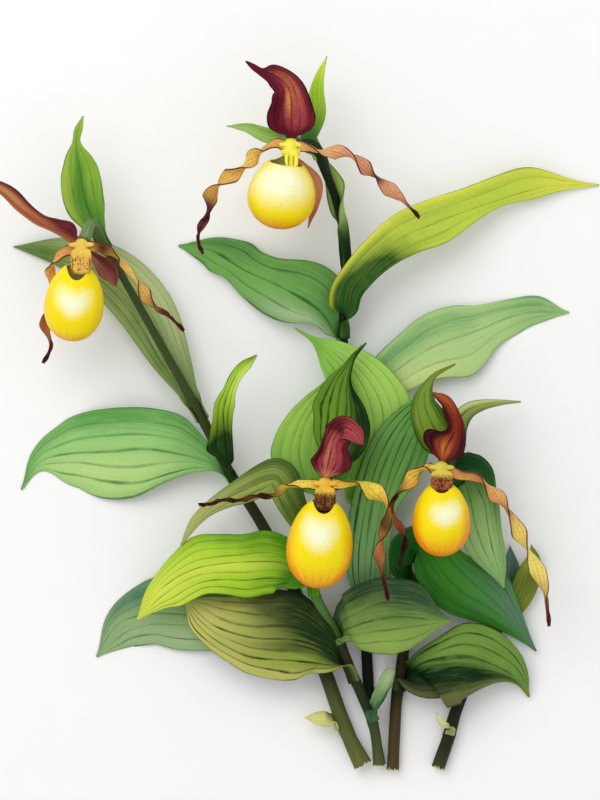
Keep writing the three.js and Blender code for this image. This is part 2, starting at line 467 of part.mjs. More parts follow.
// The middle surface of a blade at u along its midrib and v across it, from -1 to 1.
function bladeSurface(blade) {
  const curve = curveThrough(blade.points);
  const edges = blade.edges?.map(through) ?? blade.half.map((half) => swelling(half, blade));
  return (u, v) => {
    const centre = curve.getPointAt(u);
    const opened = smoothstep(u, blade.base.share * OPENS[0], blade.base.share * OPENS[1]);
    const set = lerp(blade.base.roll, lerp(blade.roll[0], blade.roll[1], u), opened);
    const roll = set + station(blade.twist, u) * 2 * Math.PI;
    const { side, normal } = across(curve.getTangentAt(u), roll);
    const grown = edges[v > 0 ? 0 : 1](u);
    const half = Math.max(lerp(blade.base.half, grown, opened), blade.tail, TIP_HALF);
    const curl = lerp(blade.base.curl, blade.curl, opened) || FLAT_CURL;
    const angle = curl * Math.abs(v);
    const wave = blade.wave * opened * Math.sin(2 * Math.PI * blade.waves * u) * v * v;
    const ripple = wave * Math.sin(Math.PI * u) * Math.sign(v || 1);
    return centre
      .addScaledVector(side, (Math.sign(v) * half * Math.sin(angle)) / curl)
      .addScaledVector(normal, (half * (1 - Math.cos(angle))) / curl + ripple);
  };
}

function bladeGeometry(blade) {
  const surface = bladeSurface(blade);
  const [stepsU, stepsV] = blade.steps;
  const faceNormal = (u, v) => {
    const alongU = surface(Math.min(u + SLOPE_STEP, 1), v).sub(surface(Math.max(u - SLOPE_STEP, 0), v));
    const alongV = surface(u, Math.min(v + SLOPE_STEP, 1)).sub(surface(u, Math.max(v - SLOPE_STEP, -1)));
    return alongU.cross(alongV).normalize();
  };
  const top = [];
  const bottom = [];
  for (let i = 0; i <= stepsU; i++) {
    for (let j = 0; j <= stepsV; j++) {
      const u = i / stepsU;
      const v = (2 * j) / stepsV - 1;
      const normal = faceNormal(u, v);
      const ridge = blade.pleat * (j % 2 ? 1 : -1) * Math.sqrt(Math.sin(Math.PI * u));
      const middle = surface(u, v).addScaledVector(normal, ridge);
      top.push(middle.clone().addScaledVector(normal, blade.thick / 2));
      bottom.push(middle.clone().addScaledVector(normal, -blade.thick / 2));
    }
  }
  top.forEach((p) => { p.z = Math.max(p.z, blade.thick); });
  bottom.forEach((p) => { p.z = Math.max(p.z, 0); });
  const offset = top.length;
  const at = (i, j) => i * (stepsV + 1) + j;
  const faces = [];
  for (let i = 0; i < stepsU; i++) {
    for (let j = 0; j < stepsV; j++) {
      const [a, b, c, d] = [at(i, j), at(i + 1, j), at(i + 1, j + 1), at(i, j + 1)];
      faces.push([a, b, c], [a, c, d]);
      faces.push([a + offset, c + offset, b + offset], [a + offset, d + offset, c + offset]);
    }
  }
  const skirt = (a, b) => faces.push([a, b, b + offset], [a, b + offset, a + offset]);
  for (let i = 0; i < stepsU; i++) {
    skirt(at(i, stepsV), at(i + 1, stepsV));
    skirt(at(i + 1, 0), at(i, 0));
  }
  for (let j = 0; j < stepsV; j++) {
    skirt(at(0, j), at(0, j + 1));
    skirt(at(stepsU, j + 1), at(stepsU, j));
  }
  return geometryFrom([...top, ...bottom], faces);
}

const PLAIN_BLADE = {
  full: 1, wave: 0, waves: 1, twist: [[0, 0], [1, 0]], pleat: 0, tail: 0, roll: [0, 0], curl: 0,
};

function leafBlade(leaf) {
  const stem = STEMS[leaf.stem];
  const curve = stemCurve(stem);
  const start = nearestShare(curve, leaf.at);
  const end = start + leaf.sheath / curve.getLength();
  const radius = station(stem.radii, start) + CLEAR + SHEATH_SLACK + LEAF_THICK / 2;
  const size = leaf.small ? 'small' : 'leaf';
  const wrap = leaf.wrap ?? SHEATH_WRAP[size];
  const onStem = (share) => {
    const { normal } = across(curve.getTangentAt(share), rad(leaf.clasp));
    return curve.getPointAt(share).addScaledVector(normal, -radius);
  };
  const points = [onStem(start), onStem(end), ...leaf.path.map(vec)];
  const length = curveThrough(points).getLength();
  return {
    ...PLAIN_BLADE,
    ...leaf,
    points,
    curl: rad(leaf.curl),
    roll: leaf.roll.map(rad),
    base: { share: leaf.sheath / length, half: radius * wrap, curl: wrap, roll: rad(leaf.clasp) },
    thick: LEAF_THICK,
    pleat: PLEAT[size],
    steps: LEAF_STEPS[size],
  };
}

function leafGeometry(leaf) {
  const blade = solidFrom(bladeGeometry(leafBlade(leaf)));
  const stem = solidFrom(stemGeometry(STEMS[leaf.stem], CLEAR));
  return largestBody(blade.subtract(stem));
}

// ---- flowers -----------------------------------------------------------------------------------------
const SEAT = RECEPTACLE_R + CLEAR + FACET_SLACK;   // from the receptacle's middle to a part's own base
const FLORAL_BASE = { share: 0.08, half: 2.6, curl: 0, roll: 0 };

function floralBlade(flower, part, shape) {
  const receptacle = vec(flower.receptacle);
  const away = vec(part.path[0]).sub(receptacle).normalize();
  const start = receptacle.clone().addScaledVector(away, SEAT);
  return {
    ...PLAIN_BLADE,
    ...part,
    points: [start, ...part.path.map(vec)],
    base: { ...FLORAL_BASE, share: part.claw ?? FLORAL_BASE.share },
    thick: PETAL_THICK,
    ...shape,
  };
}

const SEPAL_STEPS = [10, 4];

function sepalGeometry(flower, part) {
  return bladeGeometry(floralBlade(flower, part, {
    half: [part.half, part.half], curl: rad(part.curl), pleat: PLEAT.sepal, steps: SEPAL_STEPS,
  }));
}

const PETAL = { tail: 0.9, wave: 0.5, waves: 5, steps: [23, 1] };

// A petal is a narrow ribbon that twists round itself on its way to a thin tail. It has turned by a
// quarter at its first neck and by half a turn more at each further one.
function petalGeometry(flower, part) {
  const twist = [[0, 0], ...part.necks.map((u, i) => [u, (i + 0.5) / 2]), [1, part.necks.length / 2]];
  return bladeGeometry(floralBlade(flower, part, { ...PETAL, edges: [part.halves, part.halves], twist }));
}

const POUCH_SIDES = 14;
const POUCH_RINGS = 7;
const RIM_SLOPE = rad(4);           // the rim is lower in front than at the back
const DIP_POWER = 5;                // how narrow the rim's dip is where the column hangs into it
const EGG = 0.12;                   // fuller below the middle
const CLAW = { from: 0.8, power: 6 };   // share of the shell where the claw starts, and how narrow it is

// Inflated slipper: an egg-shaped shell, open at the mouth, with its back margin drawn up to the
// receptacle.
function pouchGeometry(flower) {
  const { middle, half: [length, width, depth], up, rim, dip } = flower.pouch;
  const axis = vec(up).normalize();
  const side = new THREE.Vector3().crossVectors(UP, axis).normalize();
  const front = new THREE.Vector3().crossVectors(axis, side);
  const receptacle = vec(flower.receptacle);
  const shell = (turn, share, wall) => {
    const toFront = Math.sin(turn);
    const dipped = rad(dip) * Math.max(0, toFront) ** DIP_POWER;
    const angle = share * (rad(rim) - RIM_SLOPE * toFront - dipped);
    const round = Math.sin(angle) * (1 + EGG * Math.cos(angle));
    const point = vec(middle)
      .addScaledVector(axis, -(length - wall) * Math.cos(angle))
      .addScaledVector(side, (width - wall) * round * Math.cos(turn))
      .addScaledVector(front, (depth - wall) * round * toFront);
    const claw = smoothstep(share, CLAW.from, 1) * Math.max(0, -toFront) ** CLAW.power;
    const seat = receptacle.clone().sub(point);
    const reach = Math.max(seat.length() - SEAT, 0);
    return point.addScaledVector(seat.normalize(), claw * reach);
  };
  const rings = [];
  for (let i = 1; i <= POUCH_RINGS; i++) rings.push([i / POUCH_RINGS, 0]);
  for (let i = POUCH_RINGS; i >= 1; i--) rings.push([i / POUCH_RINGS, POUCH_WALL]);
  const vertices = [shell(0, 0, 0)];
  for (const [share, wall] of rings) {
    for (let k = 0; k < POUCH_SIDES; k++) {
      vertices.push(shell((2 * Math.PI * k) / POUCH_SIDES - Math.PI / 2, share, wall));
    }
  }
  vertices.push(shell(0, 0, POUCH_WALL));
  const at = (i, k) => 1 + i * POUCH_SIDES + (k % POUCH_SIDES);
  const faces = [];
  for (let k = 0; k < POUCH_SIDES; k++) {
    faces.push([0, at(0, k + 1), at(0, k)]);
    for (let i = 0; i < rings.length - 1; i++) {
      faces.push([at(i, k), at(i, k + 1), at(i + 1, k + 1)], [at(i, k), at(i + 1, k + 1), at(i + 1, k)]);
    }
    faces.push([vertices.length - 1, at(rings.length - 1, k), at(rings.length - 1, k + 1)]);
  }
  return geometryFrom(vertices, faces);
}

// Receptacle and column: a round knob with the blunt, shield-shaped staminode that hangs over the mouth.
const STAMINODE = { middle: 0.57, half: 0.43, thick: 2.2, blunt: 0.7 };   // first two are shares of its reach
const BALL_FACES = [10, 7];

function columnGeometry(flower) {
  const { end, half } = flower.column;
  const reach = vec(end);
  const knob = new THREE.SphereGeometry(RECEPTACLE_R, ...BALL_FACES).translate(...flower.receptacle);
  const shield = new THREE.SphereGeometry(1, ...BALL_FACES);
  const points = shield.attributes.position;
  points.array.forEach((c, i) => { points.array[i] = Math.sign(c) * Math.abs(c) ** STAMINODE.blunt; });
  shield.scale(half, STAMINODE.half * reach.length(), STAMINODE.thick).rotateX(-Math.atan2(end[2], -end[1]));
  shield.translate(...vec(flower.receptacle).addScaledVector(reach, STAMINODE.middle).toArray());
  return largestBody(solidFrom(knob).add(solidFrom(shield)));
}

// ---- the plant ---------------------------------------------------------------------------------------
const plant = new THREE.Group();
plant.position.set(...PLAN_SHIFT, 0);

function addPiece(name, geometry, tint, roughness = ROUGHNESS.blade) {
  const shaded = geometry.toNonIndexed();
  shaded.computeVertexNormals();
  const material = new THREE.MeshStandardMaterial({ color: TINTS[tint], roughness, metalness: 0 });
  const mesh = new THREE.Mesh(shaded, material);
  mesh.name = name;
  plant.add(mesh);
}

for (const [name, stem] of Object.entries(STEMS)) {
  addPiece(`stem_${name}`, stemGeometry(stem), stem.tint, ROUGHNESS.stem);
}
for (const leaf of LEAVES) addPiece(leaf.name, leafGeometry(leaf), leaf.tint);
for (const [name, flower] of Object.entries(FLOWERS)) {
  addPiece(`pouch_${name}`, pouchGeometry(flower), 'pouch', ROUGHNESS.pouch);
  addPiece(`column_${name}`, columnGeometry(flower), 'column', ROUGHNESS.column);
  addPiece(`dorsal_sepal_${name}`, sepalGeometry(flower, flower.dorsal), flower.dorsal.tint);
  addPiece(`lower_sepals_${name}`, sepalGeometry(flower, flower.lower), flower.lower.tint);
  flower.petals.forEach((petal, side) => {
    addPiece(`petal_${name}_${side + 1}`, petalGeometry(flower, petal), 'petal');
  });
}

export default plant;
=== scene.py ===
# %% [markdown]
# # A yellow lady's slipper, built leaf by leaf
#
# The plant is one clump of leafy shoots that was cut at its base and laid on its back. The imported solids
# say where every stem, leaf and flower part lies. Each lesson below takes one kind of piece, says what it
# is on the living plant, and builds it finely in the very place that its solid holds.
#
# Lengths in the tables are millimetres in the plan of the plant: +Y runs along the shoots to their tips, +X
# across them, +Z up from the surface. A mesh is turned into metres when it is made.

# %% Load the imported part
import math

import bpy
import numpy as np
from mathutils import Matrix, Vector


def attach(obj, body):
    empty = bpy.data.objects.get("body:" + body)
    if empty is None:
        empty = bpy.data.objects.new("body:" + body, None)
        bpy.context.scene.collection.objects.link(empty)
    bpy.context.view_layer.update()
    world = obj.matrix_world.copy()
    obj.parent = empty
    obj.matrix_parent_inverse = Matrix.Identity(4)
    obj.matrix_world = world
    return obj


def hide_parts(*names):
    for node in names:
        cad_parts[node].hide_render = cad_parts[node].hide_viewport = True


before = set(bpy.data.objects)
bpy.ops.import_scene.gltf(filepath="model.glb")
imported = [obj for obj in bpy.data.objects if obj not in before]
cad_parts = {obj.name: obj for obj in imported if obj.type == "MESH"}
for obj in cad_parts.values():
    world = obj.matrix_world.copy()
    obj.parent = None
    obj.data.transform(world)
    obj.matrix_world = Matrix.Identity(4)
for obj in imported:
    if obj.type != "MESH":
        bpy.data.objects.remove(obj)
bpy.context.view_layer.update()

# %% [markdown]
# ## The camera comes first
#
# The plant lies flat, so the camera looks straight down on it. A long lens far away keeps the heights of
# the leaves and flowers from pushing them out of place.

# %% Camera straight above
VIEW_HEIGHT = 0.4          # metres of the plan that the long side of the view shows
PLAN_SHIFT = (6.0, 7.0)    # where the plan's zero, the middle of the view, lies in the part's frame
MM_IN_METRE = 1000
LENS = 600.0
SENSOR = 36.0
FOCUS_HEIGHT = 0.03        # the view's scale is true at this height
NEAREST, FARTHEST = 0.1, 30.0

camera_data = bpy.data.cameras.new("camera")
camera_data.lens = LENS
camera_data.sensor_width = SENSOR
camera_data.clip_start = NEAREST
camera_data.clip_end = FARTHEST
camera = bpy.data.objects.new("camera", camera_data)
distance = VIEW_HEIGHT * LENS / SENSOR
camera.location = (*(shift / MM_IN_METRE for shift in PLAN_SHIFT), FOCUS_HEIGHT + distance)
bpy.context.scene.collection.objects.link(camera)
bpy.context.scene.camera = camera
print("camera height in metres:", round(camera.location.z, 2))

# %% [markdown]
# ## The plan of the plant
#
# A shoot is a smooth line through a few points, with a radius at shares of its length. Each leaf starts on
# its stem, wraps round it as a sheath, and then follows its own line. The same numbers made the solids, so
# a leaf built from them lies in its solid's place.

# %% Stems
STEMS = {
    "left": dict(
        points=[(31.7, -183.5, 4.9), (25, -170, 5), (20, -157.5, 5.5), (13, -137.5, 7), (-5, -90, 10),
                (-19, -62.5, 12), (-36, -35, 15), (-50, -7.5, 19), (-62.5, 15, 24), (-85, 55, 32),
                (-99, 80, 38), (-104, 88, 44)],
        radii=[(0, 4.7), (0.05, 3.6), (0.2, 3.5), (0.5, 2.6), (0.86, 1.9), (0.93, 2.3), (1, 3)],
        flower="left",
    ),
    "front": dict(
        points=[(40, -183.5, 5), (36.5, -162, 9.3), (30.5, -147, 10.5), (25, -134, 11.5), (18.5, -118, 14),
                (7, -95, 20), (8, -72, 25), (13, -45, 29), (17, -29, 35), (17.5, -27, 42)],
        radii=[(0, 3.3), (0.05, 2.6), (0.3, 2.5), (0.75, 2.3), (0.88, 2.2), (1, 3)],
        flower="front",
    ),
    "right": dict(
        points=[(46.5, -186, 3.3), (47.5, -165, 3.8), (48.5, -150, 4.4), (51, -132.5, 5.2), (56, -100, 8),
                (62.5, -80, 14), (70, -50, 25), (76, -29, 33), (77, -23, 42)],
        radii=[(0, 3.2), (0.05, 2.9), (0.4, 2.8), (0.75, 2.4), (0.88, 2.2), (1, 3)],
        flower="right",
    ),
    "top": dict(
        points=[(35.5, -158, 3.4), (34.5, -146, 2.9), (33.5, -128, 3.1), (32, -105, 4), (29, -70, 5),
                (27.5, -35, 6), (24, 0, 7.5), (21.5, 32, 11), (22.8, 60, 16), (22.3, 78, 21), (19, 96, 27),
                (14, 111, 33), (6.5, 127, 40)],
        radii=[(0, 3.3), (0.05, 2.8), (0.4, 2.6), (0.85, 2), (0.93, 2.2), (1, 3)],
        flower="top",
    ),
    "short": dict(
        points=[(69, -185, 3.5), (74, -171, 3.5), (78, -157, 3.6), (85, -140, 3.6), (93, -125, 4.2),
                (99, -112, 4.8)],
        radii=[(0, 3.4), (0.4, 3), (1, 1.6)],
    ),
}
print("shoots:", ", ".join(STEMS))

# %% [markdown]
# ## The leaves' own table
#
# A leaf's name holds the name of its stem. `at` is where the sheath starts, `sheath` its length, and
# `clasp` the side of the stem it clasps, in degrees. `half` holds the half widths left and right of the
# midrib where it is `widest`, and `edges` holds them at even steps from the base to the tip. A positive
# curl lifts the margins, `wave` lets them rise and fall, and `roll` turns the blade, at its base and at its
# tip.

# %% Leaves, bracts and scales
LEAVES = {
    "scale_left": dict(
        at=(19.5, -165), clasp=90, sheath=5, wrap=0.9,
        path=[(12.5, -160, 9), (2.2, -159.3, 8)],
        half=(4, 4), widest=0.5, curl=20, roll=(20, 10), small=True),
    "leaf_left_1": dict(
        at=(9, -127), clasp=90, sheath=10,
        path=[(-8, -112, 9), (-25, -110, 8), (-48, -108, 7), (-75, -107, 3), (-92, -113, 0.4),
              (-102, -129, 0.4)],
        edges=([3, 5, 9, 14, 17, 18, 18.5, 16, 15, 12, 0.5],
               [3, 6, 12, 17, 21, 22, 21, 17, 11, 4, 0.5]),
        curl=-12, wave=1.5, waves=1.5),
    "leaf_left_2": dict(
        at=(-30, -45), clasp=60, sheath=12, wrap=1.1,
        path=[(-49, -30, 11.5), (-73, -25, 13), (-95, -25, 8), (-115, -26, 2.5), (-130, -31, 0.4),
              (-140, -45, 0.4)],
        edges=([3, 3, 7, 14, 21, 25, 25, 21, 14, 3, 0.4],
               [3, 5, 10, 19, 21, 21.5, 21, 18.5, 12, 4.5, 0.4]),
        curl=-20, wave=1.2, waves=1.5),
    "leaf_left_3": dict(
        at=(-33, -43), clasp=180, sheath=7, wrap=0.8,
        path=[(-36.5, -22, 24), (-38.5, -6, 30), (-36, 4, 34), (-31, 13.5, 35), (-21.5, 22.5, 36)],
        edges=([3, 3.5, 5, 12, 9, 5.8, 5, 3, 3, 2.8, 0.4],
               [3, 3, 3, 3, 3.8, 5, 5.5, 3.8, 3.2, 2.8, 0.4]),
        curl=30, roll=(20, 0)),
    "leaf_left_4": dict(
        at=(-49, -10), clasp=0, sheath=8,
        path=[(-64, 20, 15), (-78, 47, 14), (-96, 65, 11), (-118, 74, 6), (-144, 77, 0.4)],
        half=(15, 14), widest=0.5, curl=-15, wave=1.2, waves=1),
    "bract_left": dict(
        at=(-96, 76), clasp=0, sheath=5,
        path=[(-108, 100, 32), (-110, 115, 33), (-111.5, 125, 33), (-111.5, 132, 32), (-108.5, 142, 30)],
        edges=([2, 4, 6.5, 9.5, 10.5, 10.5, 9.5, 6.5, 2.2, 2, 0.4],
               [2, 4, 6.5, 9.5, 10.5, 10.5, 9.5, 6.5, 2.2, 2, 0.4]),
        curl=25, small=True),
    "scale_front": dict(
        at=(36.8, -161), clasp=-150, sheath=4, wrap=1.2,
        path=[(40, -150, 14.5), (43.5, -142, 15), (46.3, -134.5, 14)],
        edges=([3, 4.5, 4.5, 4.5, 4.8, 4.8, 4.6, 4.4, 4.2, 3.6, 2.2],
               [3, 4.5, 5, 5, 5, 5, 4.8, 4.6, 4.4, 3.6, 2.2]),
        curl=50, roll=(-60, -20), small=True),
    "leaf_front_1": dict(
        at=(28, -141), clasp=90, sheath=10,
        path=[(10, -124, 20), (-3, -120, 22), (-25, -119, 21), (-43, -113, 17), (-57.5, -100, 12)],
        edges=([3, 4, 13, 19, 21.5, 21, 18.5, 14.5, 11, 8, 1],
               [3, 5, 10, 17, 24, 25, 24, 22, 19, 13, 1]),
        curl=-22, wave=1.2, waves=1.5),
    "leaf_front_2": dict(
        at=(20, -122), clasp=-90, sheath=4,
        path=[(27, -114, 23), (40, -109.5, 26), (55, -108.5, 26), (67, -109.5, 24), (76, -110.5, 22)],
        edges=([3, 12, 17, 19, 20, 20.5, 19.5, 18, 13, 5, 0.5],
               [3, 5, 12, 16, 18, 19, 18, 16, 11.5, 5, 0.5]),
        curl=-15, wave=1, waves=1.5),
    "leaf_front_3": dict(
        at=(8, -97), clasp=90, sheath=7,
        path=[(-7, -82, 28), (-30, -81, 29), (-54, -85, 27), (-70, -95, 23), (-81.5, -110, 17)],
        edges=([3, 9, 15, 17, 18.5, 16, 14, 14, 13, 7, 0.5],
               [3, 7, 12, 15.5, 14, 15, 16, 11, 7, 4, 0.5]),
        curl=-18, wave=1.8, waves=2),
    "leaf_front_4": dict(
        at=(7.5, -78), clasp=60, sheath=8,
        path=[(-3, -49, 33), (-12, -36, 35), (-34, -44, 34), (-51, -58, 29), (-59.5, -72.5, 24)],
        edges=([2, 6, 9, 10, 10, 11.5, 11, 8, 5, 3, 0.5],
               [2, 3, 4, 6, 8, 5, 3, 2, 2, 2, 0.5]),
        curl=-25, wave=0.8, waves=1),
    "leaf_front_5": dict(
        at=(10.5, -55), clasp=0, sheath=6,
        path=[(10, -34, 23), (11, -15, 22), (16, 2, 23), (23, 15, 25), (31, 27.5, 26)],
        edges=([3, 10, 19, 24.5, 23, 18.5, 13, 7.5, 4, 1.5, 0.4],
               [3, 10, 17, 20, 19, 16, 11, 6, 3, 1.2, 0.4]),
        curl=10, wave=1.2, waves=1.5),
    "bract_front": dict(
        at=(15, -38), clasp=0, sheath=5,
        path=[(20, -21, 31), (23, -5, 32), (24, 10, 33), (27, 21, 33), (33, 28.5, 32)],
        edges=([2, 6, 12, 15, 16, 17.5, 15, 10, 4, 1.5, 0.4],
               [2, 7, 12, 14, 13.5, 10, 5, 1.5, 1, 0.8, 0.4]),
        curl=25, small=True),
    "leaf_right_1": dict(
        at=(49, -146), clasp=-90, sheath=8,
        path=[(60, -132, 15), (70, -129, 20), (84, -128, 21), (98, -133, 17), (109, -140, 9),
              (115, -149, 2)],
        edges=([3, 5, 5, 8, 12, 17, 17.5, 15.5, 11.5, 5, 0.5],
               [3, 14, 24, 26, 26, 25, 22, 13, 6, 2, 0.5]),
        curl=-28, roll=(-6, 0), wave=1.5, waves=1.5),
    "leaf_right_2": dict(
        at=(57, -97), clasp=90, sheath=5, wrap=1.2,
        path=[(49.5, -84, 16.5), (51, -72, 18.5), (59, -67.5, 20.5), (68, -71.5, 21), (83, -88, 17.3),
              (97, -101, 11.8), (108, -113, 8.2), (118.5, -126, 4)],
        edges=([3, 4, 5, 5, 5, 7, 12, 14, 9, 4, 0.5],
               [3, 7, 9.5, 11.5, 18.5, 21, 20.5, 16, 10, 4.5, 0.5]),
        curl=-12, wave=1.5, waves=1.5),
    "leaf_right_3": dict(
        at=(66.8, -65), clasp=-75, sheath=6,
        path=[(77, -46, 28), (84, -37, 32), (91, -48, 31), (95, -68, 26), (102, -94, 17)],
        edges=([2.5, 4, 7, 10.5, 11, 8, 7, 6.5, 6, 4, 0.5],
               [2.5, 5, 9, 13, 16, 18, 18, 15, 12, 6, 0.5]),
        curl=-20, wave=1, waves=1),
    "leaf_right_4": dict(
        at=(73.5, -39.5), clasp=0, sheath=5,
        path=[(77.5, -13, 27), (83, -5.5, 27), (92, -2, 26), (110.5, -0.8, 21)],
        edges=([2, 3, 4, 4.2, 4, 3.6, 3.2, 2.4, 1.6, 1, 0.4],
               [2, 4, 6, 7, 6.5, 5.5, 4.2, 3, 2, 1, 0.4]),
        curl=10, small=True),
    "bract_right": dict(
        at=(75.3, -31), clasp=45, sheath=4,
        path=[(66, -13, 42), (62, 0, 43), (66, 11, 43), (77.5, 18, 42)],
        edges=([2, 5, 9, 10.5, 10, 8.5, 6, 3, 1.4, 0.9, 0.4],
               [2, 5, 9, 10, 9.5, 8, 5.5, 3, 1.4, 0.9, 0.4]),
        curl=35, small=True),
    "leaf_top_1": dict(
        at=(33, -115), clasp=-45, sheath=8,
        path=[(36, -80, 13), (40, -56, 17), (46, -33, 19), (56, -12, 21), (68, 4, 23)],
        edges=([3, 6, 11, 13.5, 14.5, 15, 15, 14.5, 12.5, 8, 0.5],
               [3, 6, 10, 10, 8, 8, 13, 15.5, 13.5, 8, 0.5]),
        curl=-12, wave=1.2, waves=1.5),
    "leaf_top_2": dict(
        at=(28.5, -60), clasp=180, sheath=5,
        path=[(33, -35, 13.5), (37, -15, 15), (33, 4, 17.5), (21, 20, 20), (-2.5, 36, 19)],
        edges=([3, 7, 12, 15, 17, 18, 17, 14, 10, 2, 0.4],
               [3, 7, 13, 16, 18, 20, 16.5, 12, 7, 2, 0.4]),
        curl=-10, wave=1.2, waves=1.5),
    "leaf_top_3": dict(
        at=(26.8, -24), clasp=-90, sheath=6,
        path=[(40, 8, 9), (64, 26, 9), (88, 34, 5), (111, 43, 0.4), (135, 44, 0.4)],
        edges=([3, 5, 8, 11, 13, 16, 16, 12, 9, 8, 0.5],
               [3, 5, 9, 13, 15, 18, 20, 11, 9, 5, 0.5]),
        curl=-8, wave=1.2, waves=1.5),
    "leaf_top_4": dict(
        at=(21.8, 24), clasp=90, sheath=7, wrap=1.4,
        path=[(9, 45, 14), (-8, 56, 12), (-27, 65, 7), (-44, 75, 3), (-61, 77.5, 0.4)],
        edges=([3, 4, 7, 13, 16, 16, 13, 9, 10, 6, 0.5],
               [3, 10, 17, 20, 18, 13, 12, 13, 9, 4, 0.5]),
        curl=-14, wave=2.2, waves=1.5),
    "leaf_top_5": dict(
        at=(21.7, 31), clasp=-140, sheath=8, wrap=1.3,
        path=[(24.5, 54, 22), (29, 62, 25), (38, 72, 26), (52, 82, 21), (70, 90, 17), (97, 99, 11),
              (125, 107, 5), (150, 108, 0.4)],
        edges=([3, 9, 8.5, 9.5, 12, 12, 11.5, 12.5, 12, 4, 0.5],
               [3, 6, 8, 9.5, 11, 12, 7, 3, 4.5, 2.5, 0.5]),
        curl=15, roll=(-10, 0), wave=1.5, waves=1.5),
    "leaf_top_6": dict(
        at=(22.5, 68), clasp=-110, sheath=22, wrap=2.2,
        path=[(22, 94, 27), (17, 108, 26), (12, 121, 30)],
        edges=([2.5, 3, 5, 7.5, 9, 8.5, 6.5, 5, 4, 2, 0.4],
               [2.5, 3, 4.5, 6, 7, 7.5, 7.5, 7, 5, 3, 0.4]),
        curl=40, roll=(-10, 0), small=True),
    "bract_top": dict(
        at=(12, 117.5), clasp=-20, sheath=4, wrap=1,
        path=[(4.5, 131, 31), (8, 142.5, 33), (8.5, 155, 33), (10.5, 164, 33), (13.5, 172, 32)],
        half=(5, 5), widest=0.42, curl=25, small=True),
    "leaf_top_7": dict(
        at=(9, 121), clasp=90, sheath=3, wrap=0.9,
        path=[(-4, 130, 31), (-17, 132.5, 31), (-26, 136, 31), (-37, 137, 30)],
        half=(4, 4), widest=0.5, curl=15, small=True),
    "scale_short": dict(
        at=(75, -168), clasp=180, sheath=3, wrap=0.6,
        path=[(71.5, -162, 8.5), (68, -157, 8)],
        half=(1.6, 1.6), widest=0.5, curl=20, small=True),
    "leaf_short_1": dict(
        at=(95, -121), clasp=-50, sheath=4,
        path=[(108, -104.5, 4.3), (114, -90, 5), (117, -80, 6), (116, -72.5, 6)],
        half=(6.5, 6.5), widest=0.62, curl=15, small=True),
    "leaf_short_2": dict(
        at=(88, -134), clasp=0, sheath=5,
        path=[(97.5, -114, 0.7), (103, -100, 0.9), (106, -86, 1.2), (105.5, -73, 1.2)],
        half=(6.5, 6.5), widest=0.6, curl=5, small=True),
}
print("leaves, bracts and scales:", len(LEAVES))

# %% [markdown]
# ## The flowers' table
#
# Everything in a flower starts at its receptacle, the round end of the ovary. The pouch is the inflated
# lip, given by its middle, its half sizes and the direction from its toe to its mouth. Its `rim` says how
# far the shell reaches from the toe, in degrees, and `dip` how much less it does in front. The column's
# `end` is the tip of its shield. A petal turns its edge upwards at its `necks`, and has its `halves` at
# even steps.

